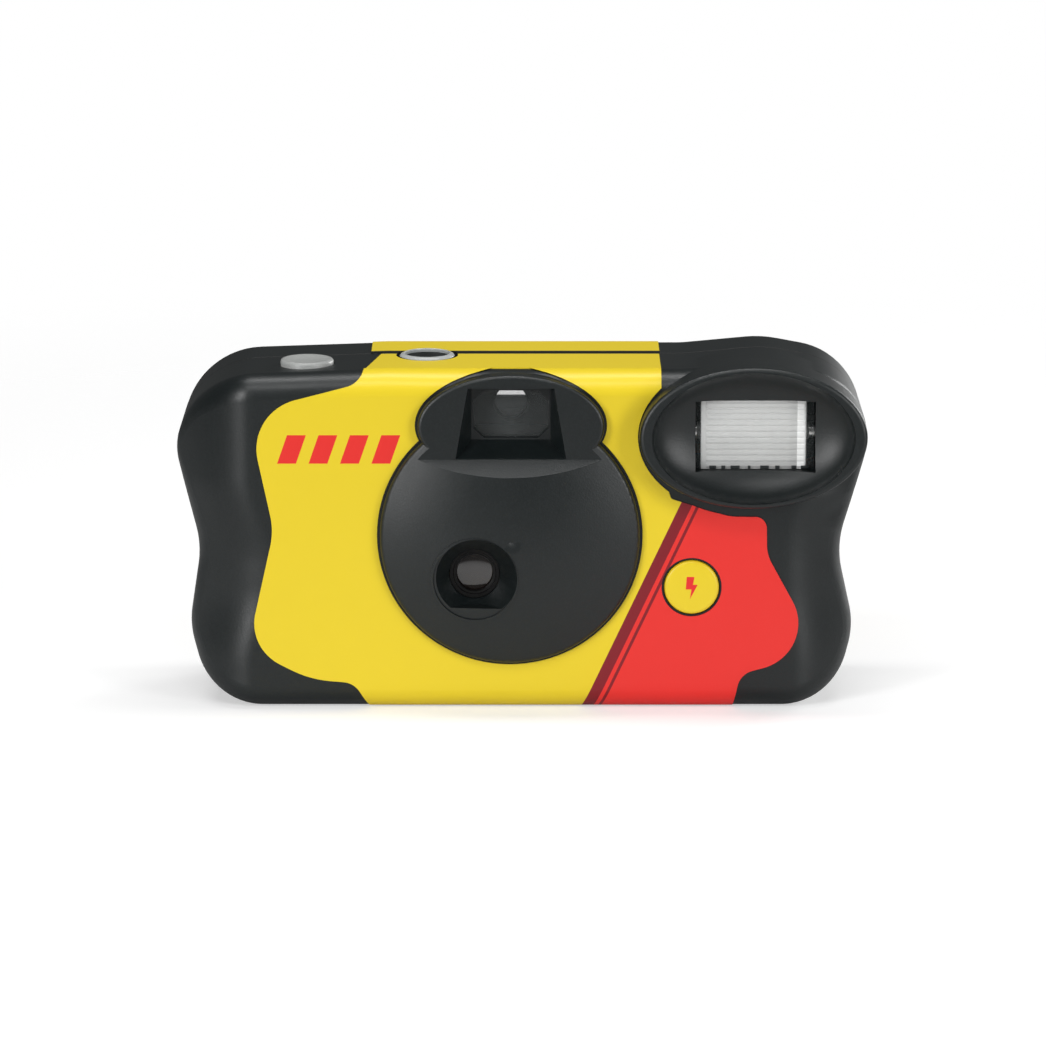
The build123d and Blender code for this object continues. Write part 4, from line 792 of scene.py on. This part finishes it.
@dataclass
class Palette:
    """All finishes of the camera, made once."""

    dial: Point
    made: dict[str, bpy.types.Material] = field(default_factory=dict)

    def build(self) -> None:
        """Make every material and keep it by name."""
        finishes = (
            MouldedPlastic("casing_plastic", (0.0018, 0.0046, 0.0050), (0.006, 0.011, 0.012),
                           specular=0.62, seam_y=4.5 * MM, swell=Swell()),
            MouldedPlastic("frame_plastic", (0.005, 0.005, 0.005), (0.012, 0.012, 0.012), 0.45, 0.25),
            MouldedPlastic("wheel_plastic", (0.005, 0.007, 0.007), (0.014, 0.017, 0.017), 0.38, 0.3),
            MouldedPlastic("button_grey", (0.36, 0.37, 0.36), (0.46, 0.47, 0.46), 0.36),
            MouldedPlastic("rim_grey", (0.42, 0.44, 0.44), (0.52, 0.54, 0.54), 0.25),
            # Darker and more matte than the casing: painted shade for the gap round the counter window.
            MouldedPlastic("shadow_gap_black", (0.001, 0.001, 0.001), (0.002, 0.002, 0.002), 0.8, 0.1),
            MouldedPlastic("component_black", (0.012, 0.012, 0.014), (0.03, 0.03, 0.032), 0.3),
            MouldedPlastic("coil_amber", (0.35, 0.16, 0.03), (0.42, 0.22, 0.05), 0.35),
            PrintedLabel("label_print"),
            PrintedLabel("label_yellow", plain=True),
            PrintedLabel("print_red", yellow=PrintedLabel.red, plain=True),
            PrintedLabel("print_black", yellow=(0.01, 0.01, 0.01), plain=True),
            ClearPlastic("clear_plastic", (0.30, 0.33, 0.33), 0.10),
            FlashPlastic(),
            ClearPlastic("lens_plastic", (0.020, 0.015, 0.013), 0.95, 0.06),
            ClearPlastic("tube_glass", (0.92, 0.93, 0.91), 0.4, 0.03),
            ClearPlastic("lamp_amber", (0.85, 0.32, 0.06), 0.75, 0.08),
            SheetMetal("bright_metal", (0.90, 0.90, 0.89), 0.2, (3000.0, 60.0, 60.0)),
            SheetMetal("spring_steel", (0.56, 0.56, 0.55), 0.24),
            SheetMetal("blackened_metal", (0.035, 0.034, 0.034), 0.4),
            SheetMetal("copper_wire", (0.72, 0.30, 0.14), 0.25, (60.0, 60.0, 6000.0)),
            PaintedMetal("cartridge_metal", (0.045, 0.045, 0.05), (0.80, 0.57, 0.03), 2, 0.010, 0.030),
            PaintedMetal("battery_wrap", (0.03, 0.03, 0.034), (0.62, 0.28, 0.06), 0, -0.0245, 0.006),
            Felt(), FilmBase(), BoardLaminate(),
            DialPrint(self.dial, (5.2 * MM, 8.4 * MM), 48),
        )
        for finish in finishes:
            self.made[finish.name] = finish.build()
            log.info("finish %s", finish.name)

    def __getitem__(self, name: str) -> bpy.types.Material:
        """The material of that name."""
        return self.made[name]


@dataclass
class CarriedNodes:
    """CAD nodes that keep their shape and get a finish."""

    nodes: dict[str, bpy.types.Object]
    finishes: dict[str, str] = field(default_factory=lambda: {
        "front_cover": "casing_plastic", "rear_cover": "casing_plastic",
        "front_label": "label_print", "rear_label": "label_yellow",
        "main_frame": "frame_plastic", "mechanism_plate": "frame_plastic",
        "lens_mount": "frame_plastic", "supply_spool": "frame_plastic",
        "cartridge_spool": "frame_plastic", "sprocket_wheel": "frame_plastic",
        "shutter_cam": "frame_plastic", "striker_lever": "frame_plastic",
        "metering_lever": "frame_plastic", "shutter_button": "button_grey",
        "flash_button": "label_yellow", "thumbwheel": "wheel_plastic",
        "counter_wheel": "dial_print", "flash_window": "clear_plastic",
        "counter_window": "clear_plastic", "viewfinder_front_lens": "clear_plastic",
        "viewfinder_rear_lens": "clear_plastic", "viewfinder_eyepiece": "clear_plastic",
        "ready_light_window": "lamp_amber",
        "taking_lens": "lens_plastic", "flash_tube": "tube_glass", "ready_lamp": "lamp_amber",
        "button_spring": "spring_steel", "shutter_spring": "spring_steel",
        "striker_spring": "spring_steel", "metering_spring": "spring_steel",
        "flash_switch_blade": "spring_steel", "sync_contacts": "spring_steel",
        "battery_contact_positive": "spring_steel", "battery_contact_negative": "spring_steel",
        "shutter_blade": "blackened_metal", "lens_retainer": "blackened_metal",
        "flash_reflector": "bright_metal", "flash_tube_electrodes": "bright_metal",
        "battery_terminal": "bright_metal", "cartridge_shell": "cartridge_metal",
        "cartridge_cap_top": "cartridge_metal", "cartridge_cap_bottom": "cartridge_metal",
        "cartridge_felt": "light_trap_felt", "film_strip": "film_base", "film_roll": "film_base",
        "flash_circuit_board": "board_laminate", "board_components": "component_black",
        "flash_capacitor": "component_black", "flash_transformer": "coil_amber",
        "trigger_coil": "copper_wire", "battery_can": "battery_wrap"})

    def dress(self, palette: Palette) -> None:
        """Give each node its finish."""
        for name, obj in self.nodes.items():
            obj.data.materials.clear()
            obj.data.materials.append(palette[self.finishes[name]])
            log.info("node %s: %s", name, self.finishes[name])


@dataclass
class FlashHead:
    """Ribbed flash window, its clips, and the polished trough behind it."""

    centre: Point
    window: tuple[float, float]
    thickness: float
    trough_low: Point
    trough_high: Point
    ribs: int = 11
    rib_depth: float = 0.22 * MM
    rib_taper: float = 0.45
    margin: float = 1.7 * MM
    tabs: Profile = ((-0.36, 1.2), (-0.27, 0.7), (-0.17, 1.6), (-0.05, 0.5), (0.08, 1.5),
                     (0.19, 0.8), (0.33, 0.9), (0.42, 1.3))
    tab_deep: float = 0.3 * MM
    tab_high: float = 0.55 * MM
    tab_rise: float = 0.35 * MM
    tab_forward: float = 0.1 * MM
    tab_rounding: float = 0.1 * MM
    skin: float = 0.25 * MM
    trough_rows: int = 15

    @classmethod
    def on_frame(cls) -> "FlashHead":
        """Flash head that fills the frame's window and reflector."""
        low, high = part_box("flash_window")
        inset = 0.15 * MM
        back_low, back_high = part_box("flash_reflector")
        return cls(((low.x + high.x) / 2, low.y, (low.z + high.z) / 2),
                   (high.x - low.x - inset, high.z - low.z - inset), high.y - low.y - 0.05 * MM,
                   tuple(back_low), tuple(back_high))

    def ribbed_window(self, palette: Palette) -> None:
        """Window plate with a field of horizontal ribs between plain margins."""
        x, y, z = self.centre
        wide, high = self.window
        shape = slab((wide, self.thickness, high), (x, y + self.thickness / 2, z), 0.0)
        inner = wide / 2 - self.margin
        cuts = [((x + side * inner, y, z), (1, 0, 0)) for side in (-1, 1)]
        pitch = (high - 2 * self.rib_depth) / self.ribs
        cuts += [((x, y, z - high / 2 + self.rib_depth + pitch * step), (0, 0, 1))
                 for step in range(self.ribs + 1)]
        for point, normal in cuts:
            bmesh.ops.bisect_plane(shape, geom=shape.verts[:] + shape.edges[:] + shape.faces[:],
                                   plane_co=point, plane_no=normal, dist=1e-9)
        fields = [face for face in shape.faces if face.normal.y < -0.9
                  and abs(face.calc_center_median().x - x) < inner
                  and abs(face.calc_center_median().z - z) < high / 2 - self.rib_depth]
        raised = bmesh.ops.extrude_discrete_faces(shape, faces=fields)["faces"]
        for face in raised:
            heart = face.calc_center_median().z
            for vert in face.verts:
                vert.co.z = heart + (vert.co.z - heart) * self.rib_taper
            bmesh.ops.translate(shape, vec=(0, -self.rib_depth, 0), verts=face.verts)
        bmesh.ops.translate(shape, vec=(0, self.rib_depth, 0), verts=shape.verts)
        piece = new_piece("flash_window_ribbed", shape, palette["flash_plastic"], "camera",
                          Style.FLAT)
        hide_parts("flash_window")

    def clips(self, palette: Palette) -> None:
        """Dark tabs of the window frame along the window's lower edge.

        Each tab has its place, as a share of the window's width, and its length in millimetres.
        """
        x, y, z = self.centre
        wide, high = self.window
        shapes = [slab((long * MM, self.tab_deep, self.tab_high),
                       (x + share * wide, y - self.tab_forward, z - high / 2 + self.tab_rise),
                       self.tab_rounding) for share, long in self.tabs]
        new_piece("flash_window_clips", join(shapes), palette["casing_plastic"], "camera",
                  Style.SMOOTH)

    def reflector(self, palette: Palette) -> None:
        """Polished trough round the flash tube, with upright end walls."""
        skin = self.skin
        low, high = Vector(self.trough_low), Vector(self.trough_high)
        wide = high.x - low.x - 2 * skin
        deep = high.y - low.y - 3 * skin
        half = (high.z - low.z) / 2 - 2 * skin
        z = (low.z + high.z) / 2
        shape = bmesh.new()
        points = []
        for step in range(self.trough_rows):
            share = -1 + 2 * step / (self.trough_rows - 1)
            points.append(shape.verts.new((low.x + skin, low.y + 2 * skin + deep * (1 - share ** 2),
                                           z + share * half)))
        edges = [shape.edges.new(pair) for pair in zip(points, points[1:])]
        grown = bmesh.ops.extrude_edge_only(shape, edges=edges)["geom"]
        bmesh.ops.translate(shape, vec=(wide, 0, 0),
                            verts=[item for item in grown if isinstance(item, bmesh.types.BMVert)])
        rims = [edge for edge in shape.edges if edge.is_boundary
                and abs(edge.verts[0].co.x - edge.verts[1].co.x) < 1e-9]
        for side in (-1, 1):
            ends = [edge for edge in rims
                    if (edge.verts[0].co.x - (low.x + high.x) / 2) * side > 0]
            first = min((v for e in ends for v in e.verts), key=lambda v: v.co.z)
            last = max((v for e in ends for v in e.verts), key=lambda v: v.co.z)
            ends.append(shape.edges.new((first, last)))
            bmesh.ops.contextual_create(shape, geom=ends)
        bmesh.ops.recalc_face_normals(shape, faces=shape.faces)
        bmesh.ops.solidify(shape, geom=shape.faces[:], thickness=skin)
        piece = new_piece("flash_trough", shape, palette["bright_metal"], "camera",
                          Style.SMOOTH)
        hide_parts("flash_reflector")

    def build(self, palette: Palette) -> None:
        """Make all pieces of the flash head."""
        self.ribbed_window(palette)
        self.clips(palette)
        self.reflector(palette)


@dataclass
class LensGroup:
    """Taking lens and the stepped baffle round it."""

    centre: Point
    bulge: float = 0.5 * MM
    roundness: float = 0.96
    steps: Profile = ((4.3, 0.0), (4.3, 0.9), (3.75, 0.9), (3.6, 0.55), (3.3, 0.5), (3.15, 0.1),
                      (3.15, 0.0), (4.3, 0.0))

    @classmethod
    def on_frame(cls) -> "LensGroup":
        """Trim in front of the frame's lens."""
        lens, recess_y = middle("taking_lens"), -11.35 * MM
        return cls((lens.x, recess_y, lens.z))

    def baffle(self, palette: Palette) -> None:
        """Stepped ring in the mouth of the recess."""
        x, y, z = self.centre
        new_piece("lens_baffle", lathe(in_mm(self.steps), (x, y - 0.05 * MM, z), "Y"),
                  palette["frame_plastic"], "camera", Style.SMOOTH)

    def glass(self, palette: Palette) -> None:
        """Bulging front and rear faces of the taking lens."""
        low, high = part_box("taking_lens")
        radius = (high.x - low.x) / 2
        bulge = self.bulge
        steps = [share / 12 for share in range(13)]
        front = [(radius * share, bulge * (sqrt(1 - self.roundness * share ** 2) - 1))
                 for share in steps]
        lift = [(r, h + high.y - low.y) for r, h in front]
        back = [(r, -h) for r, h in front]
        piece = new_piece("taking_lens_glass",
                          lathe(lift + back[::-1], ((low.x + high.x) / 2, high.y, (low.z + high.z) / 2),
                                "Y"), palette["lens_plastic"], "camera", Style.SMOOTH)
        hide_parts("taking_lens")

    def build(self, palette: Palette) -> None:
        """Make the lens and its trim."""
        self.baffle(palette)
        self.glass(palette)


@dataclass
class TopControls:
    """Dished shutter button, counter window ring and the numbers under the window."""

    button: Point
    button_base: float
    dial: Point
    window: Point
    coil: bpy.types.Mesh
    travel: float = 0.92 * MM
    dish: Profile = ((0.0, -0.42), (1.6, -0.38), (2.9, -0.24), (3.7, -0.04), (4.05, 0.0),
                     (4.35, -0.07), (4.54, -0.28), (4.6, -0.55), (4.6, -2.75), (5.4, -2.75),
                     (5.4, -3.55), (0.0, -3.55))
    stem_radius: float = 1.5 * MM
    window_rim: Profile = ((3.85, -0.22), (4.05, -0.02), (4.55, -0.20), (4.78, -0.52),
                           (4.78, -0.62), (3.85, -0.62), (3.85, -0.22))
    window_gap: Profile = ((4.86, -0.48), (5.3, -0.48), (5.4, -0.62), (4.86, -0.62),
                           (4.86, -0.48))
    numbers: tuple[int, ...] = (27, 24, 21, 18, 15, 12, 9, 6, 3, 0)
    numbers_start: float = 46.0
    numbers_radius: float = 6.7 * MM
    number_size: float = 2.4 * MM
    number_rise: float = 0.03 * MM
    number_depth: float = 0.02 * MM

    @classmethod
    def on_frame(cls, coil: bpy.types.Object) -> "TopControls":
        """Controls over the frame's button, its coil, counter wheel and window."""
        low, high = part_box("shutter_button")
        wheel, glass = middle("counter_wheel"), middle("counter_window")
        return cls(((low.x + high.x) / 2, (low.y + high.y) / 2, high.z), low.z,
                   (wheel.x, wheel.y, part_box("counter_wheel")[1].z),
                   (glass.x, glass.y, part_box("counter_window")[1].z), coil.data)

    def shutter_button(self, palette: Palette) -> None:
        """Cap with a soft rim and a shallow dish, over its flange and stem."""
        x, y, top = self.button
        profile = in_mm(self.dish)
        base = profile[-1][1]
        piece = new_piece("shutter_button_cap", lathe(profile, (x, y, top)), palette["button_grey"],
                          "release", Style.SMOOTH)
        foot = self.button_base - top
        stem = lathe([(0.0, base), (self.stem_radius, base), (self.stem_radius, foot + 0.1 * MM),
                      (self.stem_radius - 0.1 * MM, foot), (0.0, foot)],
                     (x + self.stem_radius, y, top), steps=32)
        new_piece("shutter_button_stem", stem, palette["button_grey"], "release",
                  Style.SMOOTH)
        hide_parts("shutter_button")

    def window_ring(self, palette: Palette) -> None:
        """Pale bevelled edge of the counter window and a dark matte ring round it: the gap, with
        painted shade in it.
        """
        new_piece("counter_window_rim", lathe(in_mm(self.window_rim), self.window),
                  palette["rim_grey"], "camera", Style.SMOOTH)
        # The ring is blacker and more matte than the casing: painted shade for the shadow in the gap
        # round the window.
        new_piece("counter_window_shadow_gap", lathe(in_mm(self.window_gap), self.window),
                  palette["shadow_gap_black"], "camera", Style.SMOOTH)

    def dial_numbers(self, palette: Palette) -> None:
        """Plain numbers round the counter wheel."""
        x, y, z = self.dial
        for place, number in enumerate(self.numbers):
            turn = radians(self.numbers_start) - place * 2 * pi / len(self.numbers)
            curve = bpy.data.curves.new("number", "FONT")
            curve.body = str(number)
            curve.size = self.number_size
            curve.align_x = "CENTER"
            curve.align_y = "CENTER"
            curve.extrude = self.number_depth
            text = bpy.data.objects.new("number", curve)
            mesh = bpy.data.meshes.new_from_object(text)
            bpy.data.objects.remove(text)
            shape = bmesh.new()
            shape.from_mesh(mesh)
            at = Vector((cos(turn), sin(turn), 0.0)) * self.numbers_radius + Vector(
                (x, y, z + self.number_rise))
            bmesh.ops.transform(shape, verts=shape.verts, matrix=Matrix.Translation(at)
                                @ Matrix.Rotation(turn - pi / 2, 4, "Z"))
            new_piece(f"counter_number_{number:02d}", shape, palette["print_black"], "counter",
                      Style.FLAT)

    def spring(self, palette: Palette) -> None:
        """Coil under the button, a copy of the frame's spring."""
        shape = bmesh.new()
        shape.from_mesh(self.coil)
        piece = new_piece("button_coil", shape, palette["spring_steel"], "camera",
                          Style.SMOOTH)
        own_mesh(piece)
        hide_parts("button_spring")

    def build(self, palette: Palette) -> None:
        """Make the controls on the top."""
        self.shutter_button(palette)
        self.spring(palette)
        self.window_ring(palette)
        self.dial_numbers(palette)


@dataclass
class FlashButton:
    """Round flash charge button with a printed bolt."""

    centre: Point
    profile: Profile = ((0.0, 0.0), (3.95, 0.0), (4.35, -0.05), (4.6, -0.2), (4.7, -0.42),
                        (4.7, -2.1), (5.6, -2.1), (5.6, -2.9), (1.2, -2.9), (1.2, -3.8),
                        (0.0, -3.8))
    bolt: Profile = ((-1.05, 2.35), (0.55, 2.35), (0.25, 0.65), (1.25, 0.65), (-0.35, -2.45),
                     (-0.05, -0.35), (-1.25, -0.35))
    bolt_scale: float = 0.82

    @classmethod
    def on_frame(cls) -> "FlashButton":
        """Button over the frame's one."""
        low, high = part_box("flash_button")
        return cls(((low.x + high.x) / 2, low.y, (low.z + high.z) / 2))

    def face(self, palette: Palette) -> None:
        """Button with a soft rim, over its flange and its foot."""
        piece = new_piece("flash_button_cap", lathe(in_mm(self.profile), self.centre, "Y"),
                          palette["label_yellow"], "flash_switch", Style.SMOOTH)
        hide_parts("flash_button")

    def pictogram(self, palette: Palette) -> None:
        """Red bolt printed on the button."""
        x, y, z = self.centre
        outline = [(across * self.bolt_scale, up * self.bolt_scale) for across, up in in_mm(self.bolt)]
        new_piece("flash_button_bolt", plate(outline, 0.03 * MM, facing_front(x, y + 0.01 * MM, z)),
                  palette["print_red"], "flash_switch", Style.FLAT)

    def build(self, palette: Palette) -> None:
        """Make the button and its print."""
        self.face(palette)
        self.pictogram(palette)


@dataclass(frozen=True)
class Lamp:
    """Rectangular soft lamp that looks at the camera body's middle."""

    name: str
    power: float
    size: tuple[float, float]
    at: Point
    look: Point = (0.0, 0.0, 30.0 * MM)

    def build(self) -> None:
        """Hang the lamp."""
        data = bpy.data.lights.new(self.name, "AREA")
        data.shape = "RECTANGLE"
        data.size, data.size_y = self.size
        data.energy = self.power
        lamp = bpy.data.objects.new(self.name, data)
        lamp.location = self.at
        aim = Vector(self.look) - Vector(self.at)
        lamp.rotation_euler = aim.to_track_quat("-Z", "Y").to_euler()
        bpy.context.scene.collection.objects.link(lamp)


@dataclass
class Studio:
    """Floor, lamps, world and the camera at the photograph's angle."""

    elevation: float = 13.0
    distance: float = 0.9
    focal_pixels: float = 5145.3
    frame_pixels: float = 1046.0
    target: Point = (0.0, 0.0, 0.03015)
    sensor: float = 36.0
    floor_colour: Colour = (0.64, 0.64, 0.64)
    floor_radius: float = 0.45
    dim: float = 0.06
    seen: float = 0.94
    shiny: float = 0.04
    lamps: tuple[Lamp, ...] = (
        Lamp("key", 1.6, (0.50, 0.16), (-0.10, -0.50, 0.72)),
        Lamp("left_strip", 4.4, (0.26, 0.52), (-0.62, -0.66, 0.27)),
        Lamp("right_strip", 3.4, (0.26, 0.52), (0.68, -0.60, 0.27)),
        Lamp("back", 4.8, (0.4, 0.4), (0.66, 0.62, 0.22)),
        Lamp("top", 3.0, (0.7, 0.14), (0.0, 0.03, 0.8)))

    def camera(self) -> None:
        """Camera that looks down a little on the front."""
        data = bpy.data.cameras.new("camera")
        data.sensor_width = self.sensor
        data.lens = self.focal_pixels / self.frame_pixels * data.sensor_width
        data.clip_start = 0.01
        data.shift_x = 1 / self.frame_pixels
        camera = bpy.data.objects.new("camera", data)
        bpy.context.scene.collection.objects.link(camera)
        tilt = radians(self.elevation)
        back = Vector((0.0, -cos(tilt), sin(tilt)))
        camera.location = Vector(self.target) + self.distance * back
        camera.rotation_euler = (pi / 2 - tilt, 0.0, 0.0)
        bpy.context.scene.camera = camera

    def floor(self) -> None:
        """Large pale disc under the object."""
        shape = bmesh.new()
        bmesh.ops.create_circle(shape, cap_ends=True, radius=self.floor_radius, segments=64)
        mesh = bpy.data.meshes.new("floor")
        shape.to_mesh(mesh)
        shape.free()
        floor = bpy.data.objects.new("floor", mesh)
        bpy.context.scene.collection.objects.link(floor)
        mesh.materials.append(Ground(self.floor_colour).build())

    def world(self) -> None:
        """White surroundings for what the lens sees, and dim ones for the light on the object."""
        world = bpy.data.worlds.new("studio")
        world.use_nodes = True
        tree = world.node_tree
        back = tree.nodes["Background"]
        back.inputs["Color"].default_value = (1.0, 1.0, 1.0, 1.0)
        path = tree.nodes.new("ShaderNodeLightPath")
        lens, through, shiny = (Socket(tree, path.outputs[f"Is {kind} Ray"])
                                for kind in ("Camera", "Transmission", "Glossy"))
        strength = self.dim + (lens | through) * self.seen + shiny * self.shiny
        tree.links.new(strength.link, back.inputs["Strength"])
        bpy.context.scene.world = world

    def build(self) -> None:
        """Make the studio."""
        self.camera()
        self.floor()
        self.world()
        for lamp in self.lamps:
            lamp.build()
        bpy.context.scene.view_settings.view_transform = "Standard"


def main() -> None:
    """Build the studio, dress the carried nodes and add the detailed pieces."""
    logging.basicConfig(level=logging.INFO, format="%(name)s: %(message)s")
    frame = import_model()
    Studio().build()
    controls = TopControls.on_frame(frame["nodes"]["button_spring"])
    palette = Palette(controls.dial)
    palette.build()
    CarriedNodes(frame["nodes"]).dress(palette)
    for assembly in (FlashHead.on_frame(), LensGroup.on_frame(), controls, FlashButton.on_frame()):
        log.info("sub-assembly %s", type(assembly).__name__)
        assembly.build(palette)


if __name__ == "__main__":
    main()
